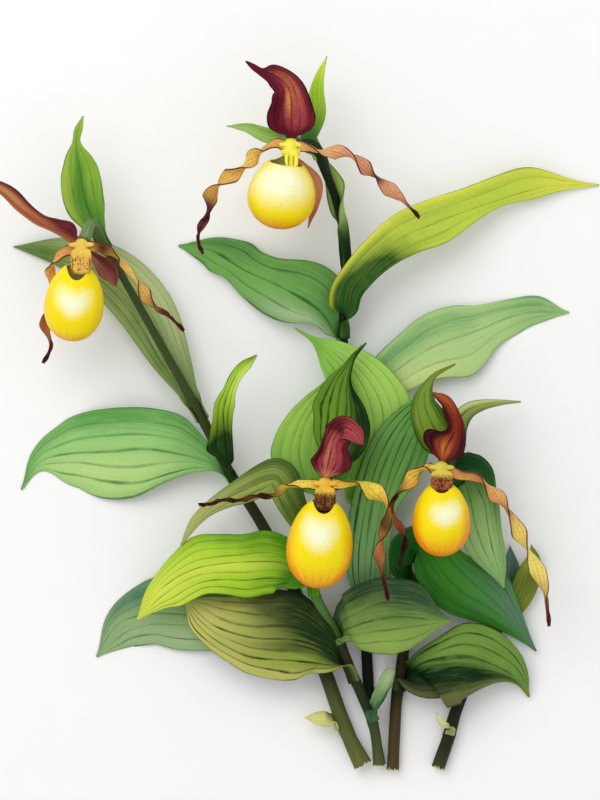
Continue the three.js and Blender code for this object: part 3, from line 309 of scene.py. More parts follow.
# %% Flowers
FLOWERS = {
    "left": dict(
        receptacle=(-109, 77, 50),
        pouch=dict(middle=(-112.5, 49, 50), half=(20, 15, 15), up=(0.1, 1, 0.12), rim=150, dip=22),
        column=dict(end=(0, -14.2, 9.8), half=5.2),
        dorsal=dict(
            path=[(-116, 82.5, 53), (-122, 86, 54), (-130, 90, 54), (-138, 96, 53), (-147, 104, 51),
                  (-162, 112, 48)],
            edges=([2.6, 2.8, 3, 3, 3.2, 3.5, 3.5, 3.2, 2.6, 1.6, 0.5],
                   [2.6, 6.5, 5, 3.5, 3.5, 3.8, 4, 3.8, 3, 1.8, 0.5]),
            claw=0.02, curl=30),
        lower=dict(
            path=[(-101, 70, 44), (-97, 66, 41), (-94, 62, 39), (-92, 56.5, 38)],
            half=5, widest=0.6, curl=15),
        petals=[
            dict(path=[(-118, 73, 47), (-124, 66, 40), (-125, 57, 33), (-124, 48, 30), (-127.5, 36, 32),
                  (-125, 27, 31), (-128.5, 18.5, 30)],
                 necks=[0.22, 0.42, 0.62, 0.82],
                 halves=[2.6, 3.2, 3, 2.6, 2.4, 2.4, 3, 3, 1.8, 1, 0.5]),
            dict(path=[(-99, 76, 50), (-91, 72, 47), (-84, 62, 44), (-77, 52, 42), (-70, 45.5, 41),
                  (-58, 34.5, 38)],
                 necks=[0.26, 0.48, 0.72, 0.86],
                 halves=[2.6, 4, 3.4, 2.4, 1.6, 2.4, 3.6, 2, 1.2, 0.9, 0.5]),
        ],
    ),
    "front": dict(
        receptacle=(12.5, -42, 51),
        pouch=dict(middle=(10, -71, 56), half=(23, 16.5, 16.5), up=(0.1, 1, 0.05), rim=152, dip=20),
        column=dict(end=(0, -13.5, 11), half=5.3),
        dorsal=dict(
            path=[(13.5, -34, 55), (15, -27, 58), (17, -19, 60.5), (21.5, -13.5, 63), (27, -16, 65),
                  (31, -22, 65.5)],
            edges=([2.6, 6.5, 9.5, 8, 6.5, 6, 6.5, 6, 5, 4, 1],
                   [2.6, 8, 12, 12, 9, 9, 9.5, 8, 6, 4.5, 1]),
            claw=0.02, curl=40),
        lower=dict(
            path=[(13, -47, 43), (12, -58, 36), (11, -72, 34), (11, -86, 34)],
            half=7, widest=0.5, curl=20),
        petals=[
            dict(path=[(3, -42.5, 52), (-6, -43.5, 53), (-14, -47, 53), (-22, -48.5, 52), (-35, -50, 51),
                  (-50.5, -52, 49)],
                 necks=[0.24, 0.38, 0.52, 0.66, 0.8, 0.92],
                 halves=[2.6, 3.3, 3.4, 2.2, 1.6, 1.4, 1.3, 1.2, 1, 0.9, 0.5]),
            dict(path=[(22, -41.5, 52), (30, -41, 51), (37, -46, 49.5), (43, -52.5, 48), (43, -61, 46.5),
                  (41, -71, 45), (39.5, -80, 44), (41, -89, 43), (44, -100, 42)],
                 necks=[0.16, 0.39, 0.62, 0.82],
                 halves=[2.6, 2.6, 3.6, 5, 2.2, 2.8, 3.2, 3.2, 2, 1.2, 0.5]),
        ],
    ),
    "right": dict(
        receptacle=(70.5, -34, 54),
        pouch=dict(middle=(70.5, -59, 56), half=(19, 14.5, 14.5), up=(0, 1, 0.05), rim=150, dip=15),
        column=dict(end=(0, -11.5, 8.5), half=5.5),
        dorsal=dict(
            path=[(71.5, -29, 56), (73, -24, 57), (76.5, -17, 58), (76.7, -9, 59), (73, -1.5, 59),
                  (66, 3.5, 58)],
            edges=([2.6, 8, 14, 12, 5, 3.7, 4.5, 4.5, 3, 2, 0.5],
                   [2.6, 8, 10, 8.5, 6, 4.8, 4, 3.5, 3, 2, 0.5]),
            claw=0.02, curl=35),
        lower=dict(
            path=[(70, -40, 46), (70, -50, 38), (70, -64, 36), (70, -77, 37)],
            half=6.5, widest=0.5, curl=20),
        petals=[
            dict(path=[(61.5, -34.5, 55), (54, -41, 55), (48.5, -46, 54), (46, -51, 53.5), (47.5, -58, 52),
                  (50.5, -66, 51), (52, -74, 50), (49.5, -83, 48)],
                 necks=[0.08, 0.35, 0.55, 0.75, 0.9],
                 halves=[2.6, 3.6, 4, 2.4, 1, 1, 1.6, 2, 1.8, 1.2, 0.5]),
            dict(path=[(79, -37, 54), (89, -38.5, 54), (98, -48, 52), (104, -57, 50), (110, -67, 47),
                  (117, -81, 40), (121.5, -95, 35), (124.5, -113, 30)],
                 necks=[0.2, 0.35, 0.58, 0.85],
                 halves=[2.6, 3.6, 3.4, 4, 2.4, 4.2, 2.6, 4, 3.6, 1.4, 0.5]),
        ],
    ),
    "top": dict(
        receptacle=(-4.5, 127, 46),
        pouch=dict(middle=(-9, 103.5, 46), half=(18.5, 17, 16), up=(0.15, 1, 0.1), rim=142, dip=0),
        column=dict(end=(0.5, -12, 8.5), half=3.4),
        dorsal=dict(
            path=[(-4.2, 133, 48), (-4.2, 142, 50), (-4.5, 150, 51), (-6.5, 157, 50.5), (-13, 162, 48),
                  (-19, 163.5, 46), (-27, 169, 43)],
            edges=([2.6, 11.5, 13, 12, 10, 8, 7, 5, 2.4, 1.6, 0.5],
                   [2.6, 10.5, 12.5, 12, 9.5, 7.5, 6.5, 5, 2.4, 1.6, 0.5]),
            claw=0.02, curl=35),
        lower=dict(
            path=[(-5.5, 120.5, 36.5), (0, 115, 32.5), (7, 108, 29.5), (7, 98, 27), (4, 86, 26)],
            half=4.5, widest=0.4, curl=15),
        petals=[
            dict(path=[(-12, 127.5, 48), (-19, 123.5, 47), (-24, 120.5, 47), (-34.5, 112, 44),
                  (-44.5, 102, 41), (-46.5, 94, 38), (-50.5, 81, 31), (-48.5, 73, 28)],
                 necks=[0.15, 0.3, 0.5, 0.69, 0.87],
                 halves=[2.6, 2.4, 4, 3.2, 4.2, 3, 4, 2.4, 1.8, 1.2, 0.5]),
            dict(path=[(4, 126.5, 49), (9.5, 124.5, 49), (18.5, 123.5, 49), (25.5, 121, 47.5),
                  (32, 116.5, 45), (38, 112, 43), (45.5, 104.5, 41), (54, 96.5, 37.5), (59.5, 91, 35)],
                 necks=[0.14, 0.37, 0.58, 0.88],
                 halves=[2.6, 3.2, 2.8, 4, 2.8, 3.8, 2.4, 3.8, 2.6, 1, 0.5]),
        ],
    ),
}
print("flowers:", ", ".join(FLOWERS))

# %% [markdown]
# ## A smooth line through points
#
# A centripetal Catmull-Rom curve passes through every point without overshooting where the points are
# close. It is cut into many short steps once, and asked afterwards for places by their share of its length.

# %% Lines by share of length
LINE_STEPS = 240           # short steps for each stretch between two points
CENTRIPETAL = 0.5          # the power of a stretch's length that sets its pace
TINY = 1e-6
NO_LENGTH = 1e-12


def unit(vectors):
    """The vectors at length 1."""
    return vectors / np.maximum(np.linalg.norm(vectors, axis=-1, keepdims=True), NO_LENGTH)


def smoothstep(x, low, high):
    """0 below low, 1 above high, and a soft step between them."""
    t = np.clip((x - low) / (high - low), 0, 1)
    return t * t * (3 - 2 * t)


def lerp(a, b, t):
    """The value between a and b at the share t."""
    return a + (b - a) * t


def hermite(t, start, end, leaving, arriving):
    """The cubic from start to end with the given slopes at both."""
    return ((2 * t**3 - 3 * t**2 + 1) * start + (t**3 - 2 * t**2 + t) * leaving
            + (3 * t**2 - 2 * t**3) * end + (t**3 - t**2) * arriving)


def through(values, u):
    """A smooth curve through values that stand evenly spaced along u from 0 to 1."""
    given = np.array(values, float)
    last = len(given) - 1
    at = np.clip(u, 0, 1) * last
    i = np.minimum(np.floor(at).astype(int), last - 1)
    p0, p1, p2, p3 = given[np.maximum(i - 1, 0)], given[i], given[i + 1], given[np.minimum(i + 2, last)]
    return hermite(at - i, p1, p2, (p2 - p0) / 2, (p3 - p1) / 2)


def smooth_line(points):
    """A table of a smooth line through the points: places, and each one's share of the whole length."""
    given = np.array(points, float)
    padded = np.vstack([2 * given[0] - given[1], given, 2 * given[-1] - given[-2]])
    steps = np.linspace(0, 1, LINE_STEPS, endpoint=False)[:, None]
    places = []
    for i in range(len(given) - 1):
        p0, p1, p2, p3 = padded[i:i + 4]
        pairs = ((p0, p1), (p1, p2), (p2, p3))
        d0, d1, d2 = (max(np.linalg.norm(b - a), TINY) ** CENTRIPETAL for a, b in pairs)
        leaving = ((p1 - p0) / d0 - (p2 - p0) / (d0 + d1) + (p2 - p1) / d1) * d1
        arriving = ((p2 - p1) / d1 - (p3 - p1) / (d1 + d2) + (p3 - p2) / d2) * d1
        places.append(hermite(steps, p1, p2, leaving, arriving))
    places = np.vstack(places + [given[-1:]])
    lengths = np.concatenate([[0], np.cumsum(np.linalg.norm(np.diff(places, axis=0), axis=1))])
    tangents = np.gradient(places, lengths, axis=0)
    return dict(places=places, tangents=tangents, share=lengths / lengths[-1], length=lengths[-1])


def at_share(line, u, what="places"):
    """Places or tangents of a line at the shares u of its length."""
    found = np.stack([np.interp(u, line["share"], line[what][:, k]) for k in range(3)], axis=-1)
    return found if what == "places" else unit(found)


def across(tangent, roll):
    """Directions across a line: to its left in plan and up out of it, turned by roll about the line."""
    left = unit(np.cross([0, 0, 1], tangent))
    out = np.cross(tangent, left)
    c, s = np.cos(roll)[..., None], np.sin(roll)[..., None]
    return left * c + out * s, out * c - left * s


# %% [markdown]
# ## Soft irregularity
#
# No two leaves of a plant are alike, so plain formulas look made. A sum of a few slow waves, drawn from a
# fixed seed, gives each piece its own gentle unevenness, the same on every run.

# %% Slow waves from a seed
WAVES_IN_DRIFT = 5


def drift(seed, u, v, slow=3.0):
    """Smooth unevenness between about -1 and 1 over u and v, the same for the same seed."""
    draw = np.random.default_rng(seed)
    total = 0
    for _ in range(WAVES_IN_DRIFT):
        turn_u, turn_v, phase = draw.uniform(-slow, slow), draw.uniform(-slow, slow), draw.uniform(0, 1)
        total = total + np.sin(2 * np.pi * (turn_u * u + turn_v * v + phase))
    return total / WAVES_IN_DRIFT


def seed_of(name):
    """A number that belongs to a piece's name."""
    return sum((i + 1) * ord(letter) for i, letter in enumerate(name))


print("drift at one place:", round(float(drift(1, 0.3, 0.4)), 3))

# %% [markdown]
# ## The surface of a blade
#
# Leaves, bracts, sepals and petals are all blades: a midrib, a half width on each side that swells and
# tapers, a curl across it, and a base that starts in another form, such as a sheath round a stem. The blade
# opens out of its base little by little, so no step shows between them.

# %% Blade surface
OPENS = (0.6, 2.2)                        # where the blade opens, in lengths of its base
TIP_HALF = 0.45
TIP_FINE = 0.15                           # the finest tip, which the solids keep stouter
TIP_FROM = 0.8
PLAIN_BLADE = dict(wave=0.0, waves=1.0, roll=(0.0, 0.0), curl=0.0)


def half_widths(blade, u):
    """The half widths left and right of the midrib."""
    if "edges" in blade:
        return [through(values, u) for values in blade["edges"]]
    power = math.log(0.5) / math.log(blade["widest"])
    return np.broadcast_to(blade["half"], 2)[:, None, None] * np.sin(np.pi * np.clip(u, 0, 1) ** power)


def blade_middle(blade, u, v):
    """The middle of a blade at u along its midrib and v across it, from -1 to 1. u and v are grids."""
    share, base_half, base_curl, base_roll = blade["base"]
    opened = smoothstep(u, share * OPENS[0], share * OPENS[1])
    roll = lerp(base_roll, lerp(*np.radians(blade["roll"]), u), opened)
    side, normal = across(at_share(blade["line"], u, "tangents"), roll)
    left, right = half_widths(blade, u)
    tip = lerp(TIP_HALF, TIP_FINE, smoothstep(u, TIP_FROM, 1))
    half = np.maximum(lerp(base_half, np.where(v > 0, left, right), opened), tip)
    curl = lerp(base_curl, math.radians(blade["curl"]), opened) + TINY
    angle = curl * np.abs(v)
    wave = blade["wave"] * opened * np.sin(2 * np.pi * blade["waves"] * u) * v * v
    lift = half * (1 - np.cos(angle)) / curl + wave * np.sin(np.pi * u) * np.sign(v)
    reach = np.sign(v) * half * np.sin(angle) / curl
    return at_share(blade["line"], u) + side * reach[..., None] + normal * lift[..., None]


def grid_normals(points):
    """The normals of a grid of points, from its own slopes."""
    return unit(np.cross(np.gradient(points, axis=0), np.gradient(points, axis=1)))


# %% [markdown]
# ## From a grid to a closed mesh
#
# A blade is a thin closed body: the grid is laid once above and once below the middle, and a skirt joins
# the two round the edge. It thins towards the margin, as a leaf does, and never sinks into the table.
# Attributes on the vertices remember where each one lies on the blade, and the paint reads them later.

# %% Mesh tools
MM = 0.001
MARGIN_THINNING = 0.6                     # the share of the thickness that is gone at the margin
MARGIN_POWER = 6


def new_object(name, data):
    """An object in the scene, at the origin."""
    made = bpy.data.objects.new(name, data)
    bpy.context.scene.collection.objects.link(made)
    return made


def in_metres(points):
    """Points of the plan in the part's frame."""
    return (points + [*PLAN_SHIFT, 0]) * MM


def write_mark(mesh, name, values):
    """Adds a vertex attribute."""
    data = mesh.attributes.new(name, "FLOAT", "POINT").data
    data.foreach_set("value", np.ascontiguousarray(values, np.float32).ravel())


def read_mark(mesh, name):
    """A vertex attribute as an array."""
    values = np.zeros(len(mesh.vertices), np.float32)
    mesh.attributes[name].data.foreach_get("value", values)
    return values.astype(float)


def shade_smooth(mesh):
    """Smooth shading over all faces."""
    mesh.polygons.foreach_set("use_smooth", [True] * len(mesh.polygons))


def mesh_from(name, points, faces, marks):
    """A mesh from points in plan millimetres, faces, and named numbers on its vertices."""
    mesh = bpy.data.meshes.new(name)
    mesh.from_pydata(in_metres(points).tolist(), [], faces)
    for label, values in marks.items():
        write_mark(mesh, label, values)
    shade_smooth(mesh)
    mesh.update()
    return mesh


def grid_faces(rows, columns, start=0, flip=False):
    """Quads over a grid of vertices."""
    i, j = np.meshgrid(np.arange(rows - 1), np.arange(columns - 1), indexing="ij")
    a = (start + i * columns + j).ravel()
    quads = np.stack([a, a + columns, a + columns + 1, a + 1], axis=1)
    return (quads[:, ::-1] if flip else quads).tolist()


def skirt_faces(rows, columns):
    """Quads round the edge of two grids that lie one above the other."""
    step = rows * columns
    ring = [i * columns for i in range(rows)]
    ring += [(rows - 1) * columns + j for j in range(1, columns)]
    ring += [i * columns + columns - 1 for i in range(rows - 2, -1, -1)]
    ring += list(range(columns - 2, 0, -1))
    return [[b, a, a + step, b + step] for a, b in zip(ring, ring[1:] + ring[:1])]


def closed_blade(name, middle, v, thick, marks):
    """A closed thin body round a middle surface, with marks given over the same grid."""
    normal = grid_normals(middle)
    half = thick / 2 * (1 - MARGIN_THINNING * np.abs(v) ** MARGIN_POWER)[..., None]
    upper, lower = middle + normal * half, middle - normal * half
    upper[..., 2] = np.maximum(upper[..., 2], 2 * half[..., 0])
    lower[..., 2] = np.maximum(lower[..., 2], 0)
    rows, columns = v.shape
    points = np.vstack([upper.reshape(-1, 3), lower.reshape(-1, 3)])
    faces = grid_faces(rows, columns) + grid_faces(rows, columns, rows * columns, flip=True)
    faces += skirt_faces(rows, columns)
    both = {label: np.tile(values.ravel(), 2) for label, values in marks.items()}
    both["under"] = np.repeat([0.0, 1.0], rows * columns)
    return mesh_from(name, points, faces, both)


# %% [markdown]
# ## Nodes without the clutter
#
# Shader and geometry trees are built by script. A few helpers keep that readable: one makes a node and
# fills its sockets, one makes a group with named sockets, and the small ones do sums, noise and mixing. A
# colour is written as six hexadecimal digits, and `paint` undoes the curve of the screen.

# %% Node helpers
SOCKETS = {float: "NodeSocketFloat", int: "NodeSocketInt", tuple: "NodeSocketColor",
           "number": "NodeSocketFloat", "colour": "NodeSocketColor", "geometry": "NodeSocketGeometry",
           "material": "NodeSocketMaterial"}
COLOUR_A, COLOUR_B, MIXED = 6, 7, 2       # a Mix node's own sockets for colours
BYTE = 255
KNEE, SLOPE, LIFT, POWER = 0.04045, 12.92, 0.055, 2.4     # the curve of the screen


def fill(tree, socket, value):
    """Links a socket or sets its value."""
    if isinstance(value, bpy.types.NodeSocket):
        tree.links.new(value, socket)
    elif value is not None:
        socket.default_value = value


def node(tree, kind, settings=None, **sockets):
    """A node of that kind. Sockets are given by name, with _ for a space."""
    made = tree.nodes.new(kind)
    for key, value in (settings or {}).items():
        setattr(made, key, value)
    for key, value in sockets.items():
        fill(tree, made.inputs[key.replace("_", " ")], value)
    return made


def sums(tree, operation, *values, clamp=False):
    """The output of a Math node."""
    made = node(tree, "ShaderNodeMath", dict(operation=operation, use_clamp=clamp))
    for socket, value in zip(made.inputs, values):
        fill(tree, socket, value)
    return made.outputs[0]


def times(tree, a, b):
    """The product of two numbers."""
    return sums(tree, "MULTIPLY", a, b)


def centred(tree, value):
    """Noise that lies about a half, brought to lie about zero."""
    return sums(tree, "SUBTRACT", value, 0.5)


def ramp(tree, value, low, high, start=0.0, end=1.0):
    """A soft step from start to end as value goes from low to high."""
    return node(tree, "ShaderNodeMapRange", dict(interpolation_type="SMOOTHSTEP"), Value=value, From_Min=low,
                From_Max=high, To_Min=start, To_Max=end).outputs["Result"]


def own_place(tree):
    """Where a point lies on its object."""
    return node(tree, "ShaderNodeTexCoord").outputs["Object"]


def stretched(tree, x, y):
    """A place made of two numbers, so that noise follows the blade."""
    return node(tree, "ShaderNodeCombineXYZ", X=x, Y=y, Z=0.0).outputs[0]


def noise(tree, place, scale, detail=2.0):
    """Soft noise over a place."""
    return node(tree, "ShaderNodeTexNoise", Vector=place, Scale=scale, Detail=detail).outputs[0]


def blend(tree, share, a, b, kind="MIX"):
    """The colour between a and b."""
    made = node(tree, "ShaderNodeMix", dict(data_type="RGBA", blend_type=kind), Factor=share)
    fill(tree, made.inputs[COLOUR_A], a)
    fill(tree, made.inputs[COLOUR_B], b)
    return made.outputs[MIXED]


def mark(tree, name):
    """The number that a vertex attribute holds."""
    return node(tree, "ShaderNodeAttribute", dict(attribute_name=name)).outputs["Fac"]


def paint(code):
    """A colour written as six hexadecimal digits, as the shader wants it."""
    channels = [int(code[i:i + 2], 16) / BYTE for i in (0, 2, 4)]
    return (*[c / SLOPE if c <= KNEE else ((c + LIFT) / (1 + LIFT)) ** POWER for c in channels], 1.0)


def new_group(name, kind, outputs, **inputs):
    """A node group. An input is given by its default, or by its kind where it has none."""
    group = bpy.data.node_groups.new(name, kind)
    for label, default in inputs.items():
        kinds = default if isinstance(default, str) else type(default)
        made = group.interface.new_socket(label.replace("_", " "), in_out="INPUT", socket_type=SOCKETS[kinds])
        if kinds is not default:
            made.default_value = default
    for label, socket in outputs.items():
        group.interface.new_socket(label, in_out="OUTPUT", socket_type=SOCKETS[socket])
    return group, group.nodes.new("NodeGroupInput").outputs, group.nodes.new("NodeGroupOutput").inputs


def place_group(tree, group, **sockets):
    """A shader group placed in a material, with its own values."""
    return node(tree, "ShaderNodeGroup", dict(node_tree=group), **sockets).outputs


# %% [markdown]
# ## Shared finish: a wash of three colours
#
# Living tissue shifts between a light and a deep tone with a third one here and there: yellow at a tip,
# brown at an edge. The deep tone also carries painted shade, and on the pouches the third one is a painted
# highlight. The group mixes them by two marks on the mesh, and frays the borders with noise that
# runs along the blade, because that is the way its cells run.

# %% Wash group
PATCH_SCALE = 70.0                        # soft patches, on the object itself
GRAIN_SCALE = 900.0
GRAIN_DEPTH = 0.22
STREAKS_ACROSS, STREAKS_ALONG = 9.0, 2.5
GLOW_FRAY = 0.7                           # how much of the fraying the third colour takes
GLOW_FROM = 0.15                          # below this share the third colour fades out
WASH, gin, gout = new_group(
    "tissue_wash", "ShaderNodeTree", dict(Color="colour", Grain="number"), Light=(1.0, 1.0, 1.0, 1.0),
    Deep=(0.0, 0.0, 0.0, 1.0), Glow=(1.0, 1.0, 0.0, 1.0), Deep_share=0.0, Glow_share=0.0, Across=0.0,
    Along=0.0, Mottle=0.3, Streak=0.3, Saturation=0.98)
g = WASH
place = own_place(g)
fine = noise(g, place, GRAIN_SCALE)
cells = stretched(g, times(g, gin["Across"], STREAKS_ACROSS), times(g, gin["Along"], STREAKS_ALONG))
uneven = sums(g, "ADD", times(g, centred(g, noise(g, place, PATCH_SCALE, 4.0)), gin["Mottle"]),
              times(g, centred(g, noise(g, cells, 2.0, 3.0)), gin["Streak"]))
deep = sums(g, "ADD", gin["Deep share"], uneven, clamp=True)
glow = sums(g, "MULTIPLY_ADD", uneven, GLOW_FRAY, gin["Glow share"], clamp=True)
glow = times(g, glow, ramp(g, gin["Glow share"], 0.0, GLOW_FROM))
three = blend(g, glow, blend(g, deep, gin["Light"], gin["Deep"]), gin["Glow"])
grain = sums(g, "MULTIPLY_ADD", centred(g, fine), GRAIN_DEPTH, 1.0)
tone = node(g, "ShaderNodeCombineColor", Red=grain, Green=grain, Blue=grain).outputs[0]
toned = blend(g, 1.0, three, tone, "MULTIPLY")
rich = node(g, "ShaderNodeHueSaturation", Saturation=gin["Saturation"], Color=toned).outputs[0]
g.links.new(rich, gout["Color"])
g.links.new(fine, gout["Grain"])
print("group:", g.name, "nodes:", len(g.nodes))

# %% [markdown]
# ## Shared finish: parallel veins
#
# Orchid leaves have no net of veins. Strong veins run side by side from base to tip, and they crowd
# together where the blade narrows. Counting whole numbers across the blade gives exactly that. Each vein
# swells, thins and breaks off like a stroke of ink, and some are fainter than others.

# %% Vein group
BEND_ACROSS, BEND_ALONG = 1.5, 4.0        # how fast a vein's wander changes
STROKE_ALONG = 5.0                        # how fast its ink changes
INK_SWELL, INK_LEAST = 1.6, 0.2           # its width by its ink
SOFT_EDGE = 0.2                           # the share of its width that is fully inked
BREAKS = (0.35, 0.62)                     # ink below and above these is broken and whole
FAINTEST, FAINTNESS = 0.55, 0.55
VEINS, gin, gout = new_group(
    "parallel_veins", "ShaderNodeTree", dict(Line="number", Bulge="number"), Across=0.0, Along=0.0,
    Count=5.0, Width=0.1, Waver=0.1, Broken=0.6)
g = VEINS
bend = noise(g, stretched(g, times(g, gin["Across"], BEND_ACROSS), times(g, gin["Along"], BEND_ALONG)), 1.0)
wavered = sums(g, "MULTIPLY_ADD", centred(g, bend), gin["Waver"], times(g, gin["Across"], gin["Count"]))
off = sums(g, "PINGPONG", wavered, 0.5)
number = sums(g, "ROUND", wavered)
ink = noise(g, stretched(g, number, times(g, gin["Along"], STROKE_ALONG)), 1.0, 3.0)
width = times(g, gin["Width"], sums(g, "MULTIPLY_ADD", ink, INK_SWELL, INK_LEAST))
line = ramp(g, off, times(g, width, SOFT_EDGE), width, 1.0, 0.0)
pressed = ramp(g, ink, *BREAKS, sums(g, "SUBTRACT", 1.0, gin["Broken"]), 1.0)
own = node(g, "ShaderNodeTexWhiteNoise", dict(noise_dimensions="1D"), W=number).outputs["Value"]
strength = sums(g, "MULTIPLY_ADD", own, FAINTNESS, FAINTEST, clamp=True)
g.links.new(times(g, times(g, line, pressed), strength), gout["Line"])
g.links.new(times(g, off, 2.0), gout["Bulge"])
print("group:", g.name, "nodes:", len(g.nodes))

# %% [markdown]
# ## Shared finish: speckles and margins
#
# The petals, the column and the mouth of the pouch are dotted with red-brown. Cells of a Voronoi pattern
# give a dot each, and a random share of them is left out. A margin is simply where the blade ends, made
# uneven.

# %% Speckle and margin groups
DOT_CORE = 0.6                            # the share of a dot that is fully coloured
SPECKLES, gin, gout = new_group("speckles", "ShaderNodeTree", dict(Mask="number"), Scale=900.0, Size=0.35,
                                Cover=0.5)
g = SPECKLES
cells = node(g, "ShaderNodeTexVoronoi", Vector=own_place(g), Scale=gin["Scale"])
dot = ramp(g, cells.outputs["Distance"], times(g, gin["Size"], DOT_CORE), gin["Size"], 1.0, 0.0)
pick = node(g, "ShaderNodeSeparateColor", Color=cells.outputs["Color"]).outputs["Red"]
g.links.new(times(g, dot, sums(g, "LESS_THAN", pick, gin["Cover"])), gout["Mask"])
print("group:", g.name, "nodes:", len(g.nodes))

MARGIN_PACE = 9.0                         # how fast the margin's unevenness changes along it
MARGIN, gin, gout = new_group("margin", "ShaderNodeTree", dict(Mask="number"), Across=0.0, Along=0.0,
                              Width=0.1, Waver=0.05)
g = MARGIN
edge_place = stretched(g, sums(g, "SIGN", gin["Across"]), times(g, gin["Along"], MARGIN_PACE))
edge = sums(g, "MULTIPLY_ADD", centred(g, noise(g, edge_place, 1.0)), gin["Waver"],
            sums(g, "ABSOLUTE", gin["Across"]))
g.links.new(ramp(g, edge, sums(g, "SUBTRACT", 1.0, gin["Width"]), 1.0), gout["Mask"])
print("group:", g.name, "nodes:", len(g.nodes))

# %% [markdown]
# ## The leaf's finish
#
# A lady's slipper leaf is matte to softly glossy and pleated, with darker lines where the veins run in the
# folds. Its own table of colours makes each leaf a little different, as in a real clump: the shaded ones
# given painted deep green shade, the old ones olive, the young ones bright. The underside is paler, less
# so where the leaf is deep green.

# %% Leaf material
UNDER_SHARE = 0.35                        # how pale an underside is at most
UNDER_FADES = 0.8                         # the share of the deep tone at which its paleness is gone
UNDER = "a9bf8c"
VEIN_WAVER, MARGIN_WAVER = 0.14, 0.04
SPECKS = dict(Scale=1300.0, Size=0.4)
SPECK_INK = 0.6
ROUGH_SPREAD, ROUGH_LEAST = 0.25, 0.38    # a leaf's roughness by its grain
LEAF_GRAIN = 0.15                         # the grain's share in the relief, beside the bulge between veins
PLAIN_LOOK = dict(mottle=0.55, streak=1.1, line=0.13, broken=0.55, rim=0.035, edge_ink=0.55)


def blank_material(name, roughness, **sockets):
    """A material with its Principled shader, whose uniform sockets are set directly."""
    material = bpy.data.materials.new(name)
    material.use_nodes = True
    shader = material.node_tree.nodes["Principled BSDF"]
    shader.inputs["Roughness"].default_value = roughness
    for key, value in sockets.items():
        shader.inputs[key.replace("_", " ")].default_value = value
    return material, material.node_tree, shader


def finish_shader(tree, shader, colour, height, strength, depth):
    """Gives a shader its colour and a relief of that height."""
    tree.links.new(colour, shader.inputs["Base Color"])
    bump = node(tree, "ShaderNodeBump", Strength=strength, Distance=depth, Height=height)
    tree.links.new(bump.outputs["Normal"], shader.inputs["Normal"])


def leaf_material(name, look):
    """The finish of one leaf, sepal or petal, from its own colours and veins."""
    look = {**PLAIN_LOOK, "edge": look["vein"], **look}
    material, t, shader = blank_material(name, 0.5, Specular_IOR_Level=0.1)
    # The deep mark is partly painted shade and partly the tissue's own darker tone
    side, along, deep = mark(t, "across"), mark(t, "along"), mark(t, "deep")
    tones = {tone.capitalize(): paint(look[tone]) for tone in ("light", "deep", "glow")}
    wash = place_group(t, WASH, Deep_share=deep, Glow_share=mark(t, "glow"), Across=side, Along=along,
                       Mottle=look["mottle"], Streak=look["streak"], **tones)
    veins = place_group(t, VEINS, Across=mark(t, "ridge"), Along=along, Count=look["veins"],
                        Width=look["line"], Waver=VEIN_WAVER, Broken=look["broken"])
    pale_side = times(t, mark(t, "under"), ramp(t, deep, 0.0, UNDER_FADES, UNDER_SHARE, 0.0))
    painted = blend(t, pale_side, wash["Color"], paint(UNDER))
    painted = blend(t, times(t, veins["Line"], look["ink"]), painted, paint(look["vein"]))
    rim = place_group(t, MARGIN, Across=side, Along=along, Width=look["rim"], Waver=MARGIN_WAVER)
    painted = blend(t, times(t, rim["Mask"], look["edge_ink"]), painted, paint(look["edge"]))
    if "specks" in look:
        dots = place_group(t, SPECKLES, Cover=look["specks"], **SPECKS)["Mask"]
        painted = blend(t, times(t, dots, SPECK_INK), painted, paint(look["vein"]))
    t.links.new(sums(t, "MULTIPLY_ADD", wash["Grain"], ROUGH_SPREAD, ROUGH_LEAST), shader.inputs["Roughness"])
    height = sums(t, "MULTIPLY_ADD", wash["Grain"], LEAF_GRAIN, veins["Bulge"])
    finish_shader(t, shader, painted, height, strength=0.35, depth=0.0004)
    return material


# %% [markdown]
# ## Each leaf's colours
#
# A look names the light, the deep and the third tone and the veins' colour, then how many veins lie on
# either side of the midrib and how strong they are. A wash is a soft oval patch on the blade: where it lies
# along and across, how far it reaches both ways, and how strong it is. Positive across is the left side,
# seen from the leaf's base. A wash of three numbers is a band right across the blade: where it lies along,
# its reach and its strength. The washes of the deep tone are partly painted shade and partly the tissue's
# own darker colour; `glows` are washes of the third one.

# %% Leaf looks
BAND = (0, 2)                             # where a band lies across the blade, and its reach across
BAND_NUMBERS = 3


def look_of(colours, veins, ink, deep_and_shade, glows, **more):
    """A blade's look, from four colours in one line."""
    tones = dict(zip(("light", "deep", "glow", "vein"), colours.split()))
    return dict(**tones, veins=veins, ink=ink, deep_and_shade=deep_and_shade, glows=glows, **more)


